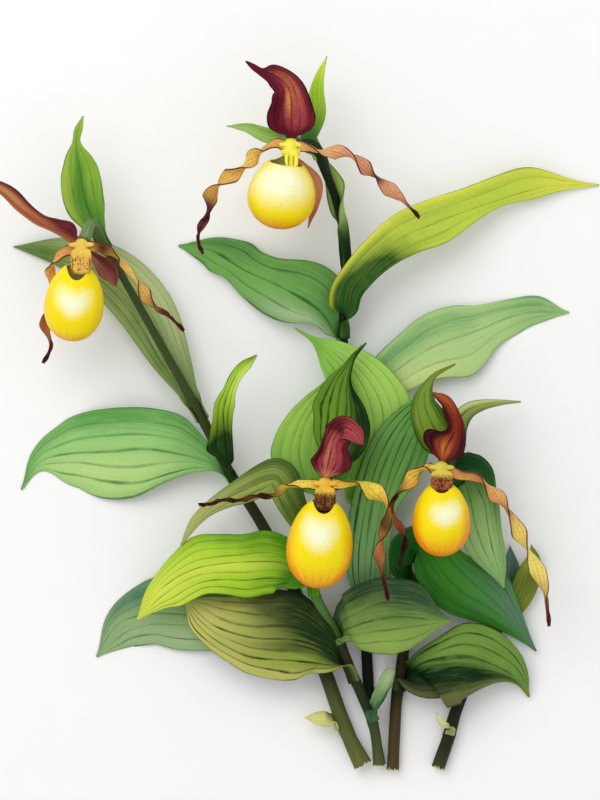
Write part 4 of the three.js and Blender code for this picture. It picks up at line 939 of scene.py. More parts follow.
LOOKS = {
    "scale_left": look_of(
        "d2d67c 7f8a3c e6e498 5a5c28", 3, 0.6,
        deep_and_shade=[(0.0, 0.35, 0.8), (0.5, -0.9, 0.6, 0.3, 0.6)], glows=[(0.8, 0.3, 0.4)]),
    "leaf_left_1": look_of(
        "90ae74 4f785c a8c08c 2f5a40", 3, 0.75,
        deep_and_shade=[(0.65, -0.7, 0.3, 0.5, 0.9), (0.0, 0.25, 0.7)], glows=[(0.5, 0.7, 0.4, 0.4, 0.6)]),
    "leaf_left_2": look_of(
        "94c672 5a9c48 b8d882 1e5a26", 3, 0.8,
        deep_and_shade=[(0.55, -0.85, 0.35, 0.35, 1.0), (0.05, 0.2, 0.9), (0.97, 0.1, 0.8),
               (0.45, 0.02, 0.35, 0.08, 0.5)],
        glows=[(0.6, 0.5, 0.35, 0.5, 0.9)]),
    "leaf_left_3": look_of(
        "a8d42c 143a10 d6e070 0e2406", 2, 1.0,
        deep_and_shade=[(0.0, 0.4, 2.4), (0.97, 0.06, 0.6)], glows=[(0.85, -0.6, 0.2, 0.5, 0.7)],
        line=0.2, rim=0.07, streak=0.3, mottle=0.2),
    "leaf_left_4": look_of(
        "a0b06e 587a34 bac88c 334a24", 4, 0.7,
        deep_and_shade=[(0.1, 0.22, 0.9), (0.95, 0.2, 0.9), (0.5, 0.6, 0.3, 0.5, 0.4)],
        glows=[(0.5, -0.6, 0.3, 0.4, 0.8)]),
    "bract_left": look_of(
        "88ae36 4c8420 a6c24a 1c4c10", 2, 0.7,
        deep_and_shade=[(0.1, 0.28, 1.1), (0.5, 0.05, 0.45, 0.3, 0.9)],
        glows=[(0.5, 0.9, 0.4, 0.3, 0.7), (0.98, 0.1, 0.7)], line=0.14),
    "scale_front": look_of(
        "8fae70 24583a b4cc94 12402a", 2, 0.6,
        deep_and_shade=[(0.1, 0.4, 0.9), (0.5, -0.8, 0.6, 0.4, 0.7)], glows=[(0.85, 0, 0.2, 1, 0.6)]),
    "leaf_front_1": look_of(
        "8ea03c 12300e bcbc60 241e10", 4, 1.0,
        deep_and_shade=[(0.0, 0.14, 1.5), (0.18, -0.6, 0.36, 0.8, 1.6), (0.55, -1.0, 0.35, 0.5, 1.0),
               (0.5, 0.15, 0.3, 0.1, 0.4)],
        glows=[(0.9, 0.1, 0.3, 1.2, 1.0), (0.45, 0.95, 0.4, 0.25, 0.9)], line=0.17),
    "leaf_front_2": look_of(
        "7c9c46 2f5030 92ae50 1c4420", 3, 0.75,
        deep_and_shade=[(0.7, 0.6, 0.35, 0.6, 1.0), (0.0, 0.14, 1.1), (0.3, 0.9, 0.4, 0.3, 0.7)],
        glows=[(0.4, -0.7, 0.4, 0.4, 0.7)], line=0.14),
    "leaf_front_3": look_of(
        "a8d024 3f8408 d6e24c 2c4a0a", 4, 0.85,
        deep_and_shade=[(0.08, 0.26, 1.1), (0.5, -0.95, 0.35, 0.35, 0.6)],
        glows=[(0.9, 0.2, 0.25, 1.5, 1.0), (0.45, 0.1, 0.2, 0.25, 0.6)]),
    "leaf_front_4": look_of(
        "92a44c 486424 b4b670 2c440f", 3, 0.9,
        deep_and_shade=[(0.45, -0.8, 0.35, 0.5, 1.0), (0.1, 0.25, 1.0), (0.5, 0.2, 0.3, 0.12, 0.7)],
        glows=[(0.9, 0.25, 0.8)], line=0.15),
    "leaf_front_5": look_of(
        "84bc40 3f8428 a8d058 2f601c", 5, 0.5,
        deep_and_shade=[(0.15, 0.25, 0.6), (0.9, 0.2, 0.6)], glows=[(0.5, 0.6, 0.3, 0.5, 0.6)]),
    "bract_front": look_of(
        "5f8c20 0a2c06 7ca42c 0a2808", 4, 1.0,
        deep_and_shade=[(0.5, -0.9, 0.55, 0.6, 1.4), (0.95, 0.15, 0.7)], glows=[(0.35, 0.5, 0.3, 0.5, 0.5)],
        line=0.26),
    "leaf_right_1": look_of(
        "6f943a 08260c 64623c 0e3010", 3, 1.0,
        deep_and_shade=[(0.4, -0.42, 0.45, 0.26, 1.5), (0.0, 0.22, 1.4)], glows=[(0.4, -0.95, 0.5, 0.28, 1.2)],
        line=0.18),
    "leaf_right_2": look_of(
        "3c8a1c 0a4a0c 5a7c64 0a4010", 3, 0.55,
        deep_and_shade=[(0.15, 0.25, 1.1), (0.6, -0.8, 0.3, 0.4, 0.5)],
        glows=[(0.82, 0.5, 0.22, 0.8, 0.9), (1.0, 0.06, 0.8)]),
    "leaf_right_3": look_of(
        "80ae5a 0c4418 acd08c 164a22", 3, 0.85,
        deep_and_shade=[(0.12, 0.3, 1.4), (0.5, 0.7, 0.3, 0.5, 0.6)], glows=[(0.75, 0, 0.2, 1, 0.6)], streak=1.0),
    "leaf_right_4": look_of(
        "96a452 5c7a34 d8e0a0 1c280c", 1, 1.0,
        deep_and_shade=[(0.1, 0.3, 0.9), (0.6, -0.7, 0.4, 0.4, 0.6)], glows=[(0.6, 0.6, 0.3, 0.4, 0.7)], line=0.14),
    "bract_right": look_of(
        "7e9c30 2c5210 8a7428 1a3a08", 2, 0.8,
        deep_and_shade=[(0.4, -0.9, 0.5, 0.4, 1.0), (0.35, 0.95, 0.4, 0.2, 0.9)], glows=[(0.97, 0.15, 0.8)]),
    "leaf_top_1": look_of(
        "7cb458 3a7c2c 7eb47c 0a3418", 4, 1.0,
        deep_and_shade=[(0.85, 0.3, 0.5)], glows=[(0.2, 0.25, 0.7)], line=0.17, broken=0.5),
    "leaf_top_2": look_of(
        "a0d054 66a838 b2dc68 3a6c1e", 4, 0.7,
        deep_and_shade=[(0.95, 0.2, 0.9), (0.1, 0.2, 0.7)], glows=[(0.6, -0.4, 0.25, 0.6, 0.6)]),
    "leaf_top_3": look_of(
        "b0d084 7caa68 d8e494 44804c", 2, 0.6,
        deep_and_shade=[(0.4, 0.55, 0.4, 0.4, 1.0), (0.92, 0.15, 0.6)], glows=[(0.25, -0.8, 0.25, 0.5, 1.0)]),
    "leaf_top_4": look_of(
        "6ea64c 3a7038 9ab684 163c22", 2, 0.9,
        deep_and_shade=[(0.1, 0.2, 0.7), (0.8, -0.6, 0.3, 0.5, 0.6)], glows=[(0.3, 0.7, 0.25, 0.4, 1.0)]),
    "leaf_top_5": look_of(
        "b8cc40 184c14 e0e048 46581c", 2, 0.5,
        deep_and_shade=[(0.0, 0.19, 1.9), (0.2, -0.85, 0.14, 0.9, 1.8)],
        glows=[(0.95, 0.15, 0.9), (0.4, 0.95, 0.4, 0.2, 0.8)], streak=0.9),
    "leaf_top_6": look_of(
        "94bc54 06280c b0d46c 0a200c", 1, 0.9,
        deep_and_shade=[(0.0, 0.42, 2.0)], glows=[(0.75, -0.5, 0.3, 0.7, 0.8)], line=0.2),
    "bract_top": look_of(
        "a6d42c 4c8e44 d6e44c 3a7a2c", 2, 0.5,
        deep_and_shade=[(0.2, 0.3, 1.1)], glows=[(0.95, 0.15, 0.8)]),
    "leaf_top_7": look_of(
        "90bc54 42802c b8d47c 336a24", 2, 0.5,
        deep_and_shade=[(0.3, -0.4, 0.3, 0.6, 0.8)], glows=[(0.8, 0.3, 0.3, 0.6, 0.6)]),
    "scale_short": look_of(
        "d2d68c 667038 e6e6ac 4a5020", 2, 0.5,
        deep_and_shade=[(0.1, 0.3, 0.8)], glows=[(0.8, 0.3, 0.4)]),
    "leaf_short_1": look_of(
        "8c9a30 46581a bab84c 2c3a0e", 3, 0.6,
        deep_and_shade=[(0.7, 0.3, 0.7)], glows=[(0.9, 0.5, 0.2, 0.5, 0.5)]),
    "leaf_short_2": look_of(
        "66887a 2c4c40 86a694 203f34", 3, 0.6,
        deep_and_shade=[(0.5, 0.4, 0.7)], glows=[(0.8, 0.5, 0.3, 0.5, 0.4)]),
}


def washes(patches, u, v):
    """The sum of soft patches over a grid."""
    total = np.zeros_like(u)
    for patch in patches:
        band = len(patch) == BAND_NUMBERS
        at_u, at_v, reach_u, reach_v, strength = np.insert(patch, (1, 2), BAND) if band else patch
        total += strength * np.exp(-((u - at_u) / reach_u) ** 2 - ((v - at_v) / reach_v) ** 2)
    return np.clip(total, 0, 1)


print("looks:", len(LOOKS))

# %% [markdown]
# ## Building a leaf
#
# A leaf follows its stem for the length of its sheath and then goes its own way. The blade bulges up
# between its veins and sinks at each of them, so light catches it in long stripes. The folds belong to the
# mesh and not only to the paint, because they show from the side as well.

# %% Leaves
CLEAR = 0.3                               # the gap between one piece and the next
SHEATH_SLACK = 0.3
SHEATH_WRAP = {False: 2.2, True: 1.4}     # radians a sheath reaches round either side, by whether it is small
RECEPTACLE_R = 3.6
LEAF_THICK = 0.7
LEAF_GRID = {False: (121, 65), True: (81, 33)}
FOLD = {False: 0.24, True: 0.18}          # from a vein's valley to the crest beside it
FOLD_POWER, FOLD_MEAN = 0.7, 0.5          # below 1 the crests are broad and the valleys narrow
UNEVEN_VEINS = 0.24                       # how far a vein strays, in steps between veins
STRAY_ALONG, STRAY_ACROSS = 0.8, 0.9      # how fast it strays
MARGIN_RUFFLE = 0.35
RUFFLE_POWER = 4                          # how near the margin a ruffle keeps
FOLD_STEADY, FOLD_SWAY = 0.8, 0.3         # the part of a leaf's fold that stays, and the part that varies
LEAF_PACE = 2                             # how fast a ruffle changes along the margin


def stem_of(name):
    """The name of the stem that a leaf's or stem's own name holds."""
    return name.split("_")[1]


def stem_line(stem):
    """A stem's line, which ends short of its flower's receptacle."""
    points = [np.array(p, float) for p in stem["points"]]
    if "flower" in stem:
        receptacle = np.array(FLOWERS[stem["flower"]]["receptacle"], float)
        points.append(receptacle + unit(points[-1] - receptacle) * (RECEPTACLE_R + CLEAR))
    return smooth_line(points)


def stem_radius(stem, u):
    """The stem's radius at a share of its length."""
    shares, radii = zip(*stem["radii"])
    return np.interp(u, shares, radii)


def nearest_share(line, place):
    """The share of a line's length that lies nearest to a place in plan."""
    apart = np.hypot(*(line["places"][:, :2] - place).T)
    return line["share"][apart.argmin()]


def leaf_blade(name, leaf):
    """A leaf's blade, whose first stretch wraps round its stem."""
    stem = STEMS[stem_of(name)]
    line = stem_line(stem)
    start = nearest_share(line, leaf["at"])
    radius = stem_radius(stem, start) + CLEAR + SHEATH_SLACK + LEAF_THICK / 2
    clasp = np.array([math.radians(leaf["clasp"])])
    on_stem = []
    for share in (start, start + leaf["sheath"] / line["length"]):
        u = np.array([share])
        normal = across(at_share(line, u, "tangents"), clasp)[1][0]
        on_stem.append(at_share(line, u)[0] - normal * radius)
    blade_line = smooth_line(on_stem + [np.array(p, float) for p in leaf["path"]])
    wrap = leaf.get("wrap", SHEATH_WRAP[leaf.get("small", False)])
    base = (leaf["sheath"] / blade_line["length"], radius * wrap, wrap, clasp[0])
    return {**PLAIN_BLADE, **leaf, "line": blade_line, "base": base}


def blade_mesh(name, blade, look, grid, thick, fold, ruffle, unevenness):
    """A blade's closed mesh, folded and ruffled, with the marks that its finish reads."""
    u, v = np.meshgrid(*(np.linspace(low, 1, count) for low, count in zip((0, -1), grid)), indexing="ij")
    seed = seed_of(name)
    middle = blade_middle(blade, u, v)
    fade = np.sqrt(np.clip(np.sin(np.pi * u), 0, 1))
    ridge = v + UNEVEN_VEINS / look["veins"] * drift(seed + 2, STRAY_ALONG * u, STRAY_ACROSS * v)
    bulge = np.abs(np.sin(np.pi * ridge * look["veins"])) ** FOLD_POWER - FOLD_MEAN
    uneven, sway = unevenness(seed, u, v)
    raised = fold * fade * bulge * uneven + ruffle * fade * v**RUFFLE_POWER * sway
    middle = middle + grid_normals(middle) * raised[..., None]
    # deep holds the deep washes, which are partly painted shade
    marks = dict(across=v, along=u, ridge=ridge, deep=washes(look["deep_and_shade"], u, v),
                 glow=washes(look["glows"], u, v))
    return closed_blade(name, middle, v, thick, marks)


def leaf_unevenness(seed, u, v):
    """How uneven a leaf's folds are, and how its margins rise and fall."""
    fold = FOLD_STEADY + FOLD_SWAY * drift(seed, u, v, slow=2)
    return fold, drift(seed + 1, u * LEAF_PACE, np.sign(v))


def dress(name, mesh, material):
    """Puts a finished mesh in its solid's place."""
    mesh.materials.clear()
    mesh.materials.append(material)
    piece = new_object(name + ".fine", mesh)
    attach(piece, "root")
    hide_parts(name)
    return piece


for name, leaf in LEAVES.items():
    small, look = leaf.get("small", False), LOOKS[name]
    mesh = blade_mesh(name, leaf_blade(name, leaf), look, LEAF_GRID[small], LEAF_THICK, FOLD[small],
                      MARGIN_RUFFLE, leaf_unevenness)
    dress(name, mesh, leaf_material(name + "_finish", look))
print("leaf pieces:", len(LEAVES))

# %% [markdown]
# ## A tube that ends in poles
#
# Stems and pouches are rings of points, each joined to the next, with one point closing either end. The
# faces are turned outwards by looking at the sign of the volume that they enclose.

# %% Rings into a closed body
def enclosed(points, faces):
    """Six times the volume inside the faces, negative when they are inside out."""
    total = 0.0
    for size in (3, 4):
        chosen = np.array([face for face in faces if len(face) == size])
        for k in range(2, size if len(chosen) else 0):
            a, b, c = points[chosen[:, 0]], points[chosen[:, k - 1]], points[chosen[:, k]]
            total += np.einsum("ij,ij->", a, np.cross(b, c))
    return total


def ring_faces(points, rows, sides):
    """Faces over rings of points that are followed by their two poles, turned outwards."""
    i, k = (grid.ravel() for grid in np.meshgrid(np.arange(rows - 1), np.arange(sides), indexing="ij"))
    a, b = i * sides + k, i * sides + (k + 1) % sides
    faces = np.stack([a, b, b + sides, a + sides], axis=1).tolist()
    first, last, end = rows * sides, rows * sides + 1, (rows - 1) * sides
    for k in range(sides):
        after = (k + 1) % sides
        faces += [[after, k, first], [end + k, end + after, last]]
    return [face[::-1] for face in faces] if enclosed(points, faces) < 0 else faces


def closed_rings(name, rings, poles, marks):
    """A closed body through the rings, from the first pole to the last. Marks are given for ring vertices."""
    points = np.vstack([rings.reshape(-1, 3), poles])
    full = {label: np.concatenate([values.ravel(), [values[0, 0], values[-1, 0]]])
            for label, values in marks.items()}
    return mesh_from(name, points, ring_faces(points, *rings.shape[:2]), full)


def turns_round(sides):
    """Even steps of the angle round a body."""
    return np.linspace(0, 2 * np.pi, sides, endpoint=False)


# %% [markdown]
# ## Stems
#
# A shoot is round and juicy, slightly swollen at each node where a sheath starts, and finely grooved. Its
# top end is the ovary, which has six ribs. At the foot it was cut or torn off, so the end is ragged and
# shows the pale pith.

# %% Stem meshes
STEM_RINGS, STEM_SIDES = 240, 40
OVARY = (0.86, 0.95)                      # shares between which the ribs of the ovary grow out
RIBS, RIB = 6, 0.07                       # heights of ribs and grooves are shares of the radius
GROOVES, GROOVE, GROOVE_WANDER = 9, 0.02, 3
LUMPS, LUMPS_ALONG, LUMPS_ROUND = 0.03, 3, 7
NODE_SWELL, NODE_REACH, NODE_BELOW = 0.22, 0.012, 0.004
RAGGED, RAGGED_WAVE = 1.6, 0.35           # how far the torn foot reaches, and its share of slow waves
FRAY_RINGS, FRAY_FADE = 8, 2.0
PITH_DEPTH = 0.5                          # how deep the middle of the torn end lies, as a share of its reach
CUT_SHARES = (0.35, 0.7, 0.92)            # rings over the cut end, as shares of the radius
DOWN_FROM = (0.45, 0.75)                  # shares between which the stem becomes hairy


def carried_sides(tangents):
    """Directions across a line that follow its bends without twisting about it."""
    side = unit(np.cross(tangents[0], [0.0, 0.0, 1.0]))
    sides = []
    for tangent in tangents:
        side = unit(side - tangent * side.dot(tangent))
        sides.append(side)
    return np.array(sides)


def stem_mesh(name, stem):
    """A stem's closed mesh, from its ragged foot to the top of its ovary."""
    line, seed = stem_line(stem), seed_of(name)
    shares, turn = np.linspace(0, 1, STEM_RINGS), turns_round(STEM_SIDES)
    centre, tangent = at_share(line, shares), at_share(line, shares, "tangents")
    side = carried_sides(tangent)
    over = np.cross(tangent, side)
    u, t = np.meshgrid(shares, turn, indexing="ij")
    ribs = RIB * smoothstep(u, *OVARY) * np.cos(RIBS * t) * ("flower" in stem)
    grooves = GROOVE * np.cos(GROOVES * t + GROOVE_WANDER * drift(seed, u, 0 * t))
    lumps = LUMPS * drift(seed + 1, u * LUMPS_ALONG, t / LUMPS_ROUND)
    radius = stem_radius(stem, u) * (1 + ribs + grooves + lumps)
    for leaf_name, leaf in LEAVES.items():
        if stem_of(leaf_name) == stem_of(name):
            node_at = nearest_share(line, leaf["at"]) - NODE_BELOW
            radius = radius + NODE_SWELL * np.exp(-((u - node_at) / NODE_REACH) ** 2)
    outwards = side[:, None] * np.cos(t)[..., None] + over[:, None] * np.sin(t)[..., None]
    body = centre[:, None] + outwards * radius[..., None]
    draw = np.random.default_rng(seed)
    torn = RAGGED * (draw.uniform(0, 1, STEM_SIDES) ** 2 + RAGGED_WAVE * np.sin(turn * 2 + seed) ** 2)
    fray = np.exp(-np.arange(FRAY_RINGS) / FRAY_FADE)[:, None] * torn
    body[:FRAY_RINGS] += tangent[0] * fray[..., None]
    cap = np.array([centre[0] + (body[0] - centre[0]) * share for share in CUT_SHARES])
    rings = np.concatenate([cap, body])
    rings[..., 2] = np.maximum(rings[..., 2], 0)
    on_cap = np.ones((len(cap), STEM_SIDES))
    along = np.concatenate([0 * on_cap, u])
    marks = dict(along=along, around=np.tile(turn / (2 * np.pi), (len(rings), 1)),
                 cut=np.concatenate([on_cap, 0 * u]), down=smoothstep(along, *DOWN_FROM))
    bottom = centre[0] + tangent[0] * RAGGED * PITH_DEPTH
    return closed_rings(name, rings, [bottom, centre[-1]], marks)


# %% [markdown]
# ## The stem's finish
#
# The shoots are deep green to olive and turn brown towards the ground; their near-black bands are painted
# shade where the leaves of the clump lie over them. Long streaks run up them. A colour ramp holds bands:
# shares of the length, and the colour there.

# %% Stem materials
# The near-black bands are painted shade where leaves lie over the shoots
STEM_LOOKS = {
    "left": dict(bands=[(0, "6e7438"), (0.1, "566030"), (0.15, "12180c"), (0.2, "2c3a1a"), (0.5, "0c140a"),
                        (0.6, "1c2c14"), (0.66, "2c421c"), (0.86, "2c4a1c"), (0.93, "3c6c2a"), (1, "94b878")],
                 streak="12200c", brown="5a6030"),
    "front": dict(bands=[(0, "5a6638"), (0.13, "384c22"), (0.17, "0c120a"), (0.34, "0a100a"),
                         (0.38, "3c6a2a"), (0.46, "64963e"), (1, "5a8a3a")],
                  streak="0e180a", brown="485430"),
    "right": dict(bands=[(0, "54482a"), (0.16, "4a3a1e"), (0.2, "12201a"), (0.24, "080c08"), (0.4, "0a100a"),
                         (0.55, "1c361a"), (1, "4a5c34")],
                  streak="10120a", brown="564a28"),
    "top": dict(bands=[(0, "0a0e08"), (0.3, "0c160c"), (0.5, "1c3818"), (0.7, "0c180c"), (0.9, "0e240e"),
                       (1, "2a4a24")],
                streak="060c06", brown="16240f"),
    "short": dict(bands=[(0, "4a5030"), (0.15, "1a2414"), (0.4, "0c120a"), (1, "18261a")],
                  streak="0a0e0a", brown="3a3e20"),
}
READY_STOPS = 2                           # stops that a new colour ramp already holds
STREAKS_ROUND, STREAKS_UP, GROOVES_UP = 4.0, 6.0, 4.0
STEM_WASH = dict(Deep_share=0.25, Glow_share=0.3, Mottle=0.35, Streak=1.1)
STEM_GROOVES = dict(Count=18.0, Width=0.16, Waver=0.8, Broken=0.9)
GROOVE_INK, STEM_GRAIN = 0.45, 0.2
PITH = "c9c48c"


def stem_material(name, look):
    """The finish of one stem."""
    material, t, shader = blank_material(name, 0.55, Specular_IOR_Level=0.1)
    along, around, streak = mark(t, "along"), mark(t, "around"), paint(look["streak"])
    bands = node(t, "ShaderNodeValToRGB", Fac=along)
    stops = bands.color_ramp.elements
    for i, (share, colour) in enumerate(look["bands"]):
        stop = stops[i] if i < READY_STOPS else stops.new(1.0)
        stop.position, stop.color = share, paint(colour)
    wash = place_group(t, WASH, Light=bands.outputs["Color"], Deep=streak, Glow=paint(look["brown"]),
                       Across=times(t, around, STREAKS_ROUND), Along=times(t, along, STREAKS_UP), **STEM_WASH)
    grooves = place_group(t, VEINS, Across=around, Along=times(t, along, GROOVES_UP), **STEM_GROOVES)
    lined = blend(t, times(t, grooves["Line"], GROOVE_INK), wash["Color"], streak)
    height = sums(t, "MULTIPLY_ADD", wash["Grain"], STEM_GRAIN, grooves["Bulge"])
    finish_shader(t, shader, blend(t, mark(t, "cut"), lined, paint(PITH)), height, strength=0.3, depth=0.0003)
    return material


stem_pieces = {}
for name, stem in STEMS.items():
    whole = "stem_" + name
    material = stem_material(whole + "_finish", STEM_LOOKS[name])
    stem_pieces[name] = dress(whole, stem_mesh(whole, stem), material)
print("stem pieces:", len(stem_pieces))

# %% [markdown]
# ## Sepals
#
# Behind each pouch stands the dorsal sepal, a hood above the mouth, and under the pouch the two lower
# sepals are grown into one. They are blades like the leaves, darker and veined in maroon, and they start as
# a flat claw at the receptacle.

# %% Sepals
SEPAL_THICK = 0.7
SEPAL_GRID = (101, 41)
SEPAL_FOLD, SEPAL_RUFFLE, SEPAL_PACE = 0.2, 1.2, 1.5
FACET_SLACK = 0.1                         # room for the flat faces of the receptacle
SEAT = RECEPTACLE_R + CLEAR + FACET_SLACK
FLORAL_BASE = (0.08, 2.6, 0.0, 0.0)       # a claw's share of the length, its half width, curl and roll
PARTS = {"dorsal": "dorsal_sepal_", "lower": "lower_sepals_"}
# As on the leaves, the deep washes are partly painted shade, such as the near-black inside of the right
# dorsal sepal's hood
SEPAL_LOOKS = {
    "dorsal_sepal_left": look_of(
        "b86840 5c1428 c8a458 40081a", 4, 1.0,
        deep_and_shade=[(0.12, -0.5, 0.16, 0.8, 1.1), (0.6, -0.9, 0.5, 0.4, 1.0), (0.6, 0.5, 0.5, 0.2, 0.6)],
        glows=[(0.75, 0, 0.25, 0.4, 0.7)], line=0.3, mottle=0.5, edge="3c0a18", edge_ink=0.7),
    "dorsal_sepal_front": look_of(
        "ac4246 5c0a1c d08a5c 2c040c", 3, 1.0,
        deep_and_shade=[(0.3, -0.9, 0.35, 0.4, 1.2), (0.3, 0.9, 0.3, 0.45, 1.2), (0.64, 0.2, 0.08, 0.9, 1.1)],
        glows=[(0.03, 0, 0.06, 1, 1.0), (0.3, 0.1, 0.2, 0.2, 0.6)],
        line=0.24, mottle=0.5, edge="2c0410", edge_ink=0.85, rim=0.07, specks=0.5),
    "dorsal_sepal_right": look_of(
        "8a2c14 40060e cc6c28 1c0408", 3, 1.0,
        deep_and_shade=[(0.5, 0.8, 0.4, 0.45, 1.3), (0.25, -0.8, 0.3, 0.4, 1.1), (0.3, 0.9, 0.2, 0.4, 1.2)],
        glows=[(0.14, 0.1, 0.12, 0.3, 0.9), (0.85, -0.3, 0.2, 0.6, 0.5)],
        line=0.24, mottle=0.5, edge="140206", edge_ink=0.9, rim=0.12),
    "dorsal_sepal_top": look_of(
        "a83c40 5c0220 dc9038 2c020c", 3, 0.95,
        deep_and_shade=[(0.3, 0.8, 0.35, 0.5, 1.4), (0.3, -0.9, 0.3, 0.3, 1.0), (0.88, 0.3, 1.2), (0.03, 0.08, 0.9)],
        glows=[(0.36, 0.12, 0.12, 0.12, 0.9), (0.5, -0.3, 0.2, 0.3, 0.35)],
        line=0.17, mottle=0.6, specks=0.8, edge="1c020c", edge_ink=0.95, rim=0.09),
    "lower_sepals_left": look_of(
        "94564a 5a1c20 c08a62 420c14", 2, 0.8,
        deep_and_shade=[(0.5, 0.5, 0.5, 0.6, 0.9)], glows=[(0.2, -0.5, 0.2, 0.5, 0.6)]),
    "lower_sepals_front": look_of(
        "c9a058 8a5630 d9c07c 7a4424", 3, 0.6,
        deep_and_shade=[(0.8, 0.3, 0.6)], glows=[(0.4, 0, 0.3, 0.5, 0.4)]),
    "lower_sepals_right": look_of(
        "b88c50 7a4626 d0b070 6a341c", 3, 0.6,
        deep_and_shade=[(0.8, 0.3, 0.6)], glows=[(0.4, 0, 0.3, 0.5, 0.4)]),
    "lower_sepals_top": look_of(
        "e09468 b0544c ecb480 8a3a36", 2, 0.7,
        deep_and_shade=[(0.9, 0.25, 0.9), (0.1, 0.12, 0.4)], glows=[(0.4, -0.4, 0.3, 0.5, 0.6)]),
}


def blade_line(flower, part):
    """The line of a sepal or petal, from the receptacle out."""
    receptacle = np.array(flower["receptacle"], float)
    away = unit(np.array(part["path"][0], float) - receptacle)
    return smooth_line([receptacle + away * SEAT] + [np.array(p, float) for p in part["path"]])


def sepal_blade(flower, part):
    """A sepal's blade, which starts as a claw."""
    base = (part.get("claw", FLORAL_BASE[0]), *FLORAL_BASE[1:])
    return {**PLAIN_BLADE, **part, "line": blade_line(flower, part), "base": base}


def sepal_unevenness(seed, u, v):
    """Even folds, and how a sepal's margins rise and fall."""
    return 1.0, drift(seed, u * SEPAL_PACE, np.sign(v))


for flower_name, flower in FLOWERS.items():
    for part, start in PARTS.items():
        name = start + flower_name
        look = SEPAL_LOOKS[name]
        mesh = blade_mesh(name, sepal_blade(flower, flower[part]), look, SEPAL_GRID, SEPAL_THICK, SEPAL_FOLD,
                          SEPAL_RUFFLE, sepal_unevenness)
        dress(name, mesh, leaf_material(name + "_finish", look))
print("sepal pieces:", len(SEPAL_LOOKS))

# %% [markdown]
# ## Petals with Geometry Nodes
#
# The two petals of a lady's slipper are ribbons that twist round themselves like a corkscrew. That is a
# rule, so a node tree makes them: the line brings a tilt that grows along it, a flat profile is swept along
# the tilted line, the edges are ruffled, and the sheet is given its thickness.

# %% Petal tree
WELD = 0.00001


def named(tree, name):
    """The numbers that a geometry tree stored under a name."""
    return node(tree, "GeometryNodeInputNamedAttribute", Name=name).outputs[0]


def along_normal(tree, distance):
    """A step of that distance along the surface's normal."""
    normal = node(tree, "GeometryNodeInputNormal").outputs[0]
    scaled = node(tree, "ShaderNodeVectorMath", dict(operation="SCALE"), Vector=normal, Scale=distance)
    return scaled.outputs[0]


def end_tree(tree, geometry, gin, gout):
    """Makes the result real and gives it its material."""
    real = node(tree, "GeometryNodeRealizeInstances", Geometry=geometry).outputs[0]
    last = node(tree, "GeometryNodeSetMaterial", Geometry=real, Material=gin["Material"]).outputs[0]
    tree.links.new(last, gout[0])
    print("tree:", tree.name, "nodes:", len(tree.nodes))


PETAL, gin, gout = new_group(
    "twisted_petal", "GeometryNodeTree", dict(Geometry="geometry"), Geometry="geometry", Twist=1.0,
    Ruffle=0.0003, Ruffles=9.0, Cup=0.001, Thickness=0.0007, Columns=13, Material="material")
g = PETAL
share = node(g, "GeometryNodeSplineParameter").outputs["Factor"]
upright = node(g, "GeometryNodeSetCurveNormal", dict(mode="Z_UP"), Curve=gin["Geometry"]).outputs[0]
spin = times(g, node(g, "GeometryNodeInputCurveTilt").outputs[0], gin["Twist"])
tilted = node(g, "GeometryNodeSetCurveTilt", Curve=upright, Tilt=spin).outputs[0]
marked = node(g, "GeometryNodeStoreNamedAttribute", Geometry=tilted, Name="along", Value=share).outputs[0]
strip = node(g, "GeometryNodeCurvePrimitiveLine", Start=(-1, 0, 0), End=(1, 0, 0)).outputs[0]
strip = node(g, "GeometryNodeResampleCurve", Curve=strip, Count=gin["Columns"]).outputs[0]
over = node(g, "ShaderNodeSeparateXYZ", Vector=node(g, "GeometryNodeInputPosition").outputs[0]).outputs[0]
strip = node(g, "GeometryNodeStoreNamedAttribute", Geometry=strip, Name="across", Value=over).outputs[0]
radius = node(g, "GeometryNodeInputRadius").outputs[0]
sheet = node(g, "GeometryNodeCurveToMesh", Curve=marked, Profile_Curve=strip, Scale=radius).outputs[0]
v = named(g, "across")
squared = times(g, v, v)
frill = sums(g, "SINE", times(g, named(g, "along"), times(g, gin["Ruffles"], 2 * math.pi)))
frill = times(g, times(g, frill, gin["Ruffle"]), times(g, squared, v))
offset = along_normal(g, sums(g, "MULTIPLY_ADD", squared, gin["Cup"], frill))
shaped = node(g, "GeometryNodeSetPosition", Geometry=sheet, Offset=offset).outputs[0]
half_back = along_normal(g, times(g, gin["Thickness"], -0.5))
back = node(g, "GeometryNodeSetPosition", Geometry=shaped, Offset=half_back).outputs[0]
lifted = node(g, "GeometryNodeExtrudeMesh", Mesh=back, Offset_Scale=gin["Thickness"],
              Individual=False).outputs[0]
turned = node(g, "GeometryNodeFlipFaces", Mesh=back).outputs[0]
both = node(g, "GeometryNodeJoinGeometry")
g.links.new(turned, both.inputs[0])
g.links.new(lifted, both.inputs[0])
welded = node(g, "GeometryNodeMergeByDistance", Geometry=both.outputs[0], Distance=WELD).outputs[0]
end_tree(g, welded, gin, gout)

# %% [markdown]
# ## Growing the petals
#
# Each petal's line becomes a curve whose radius is the half width: narrow at the claw and thin at the tail.
# Its tilt passes a quarter turn at the first neck and half a turn more at each further one. The modifier's
# sockets are set by name, the result is taken as a plain mesh, and the curve goes.

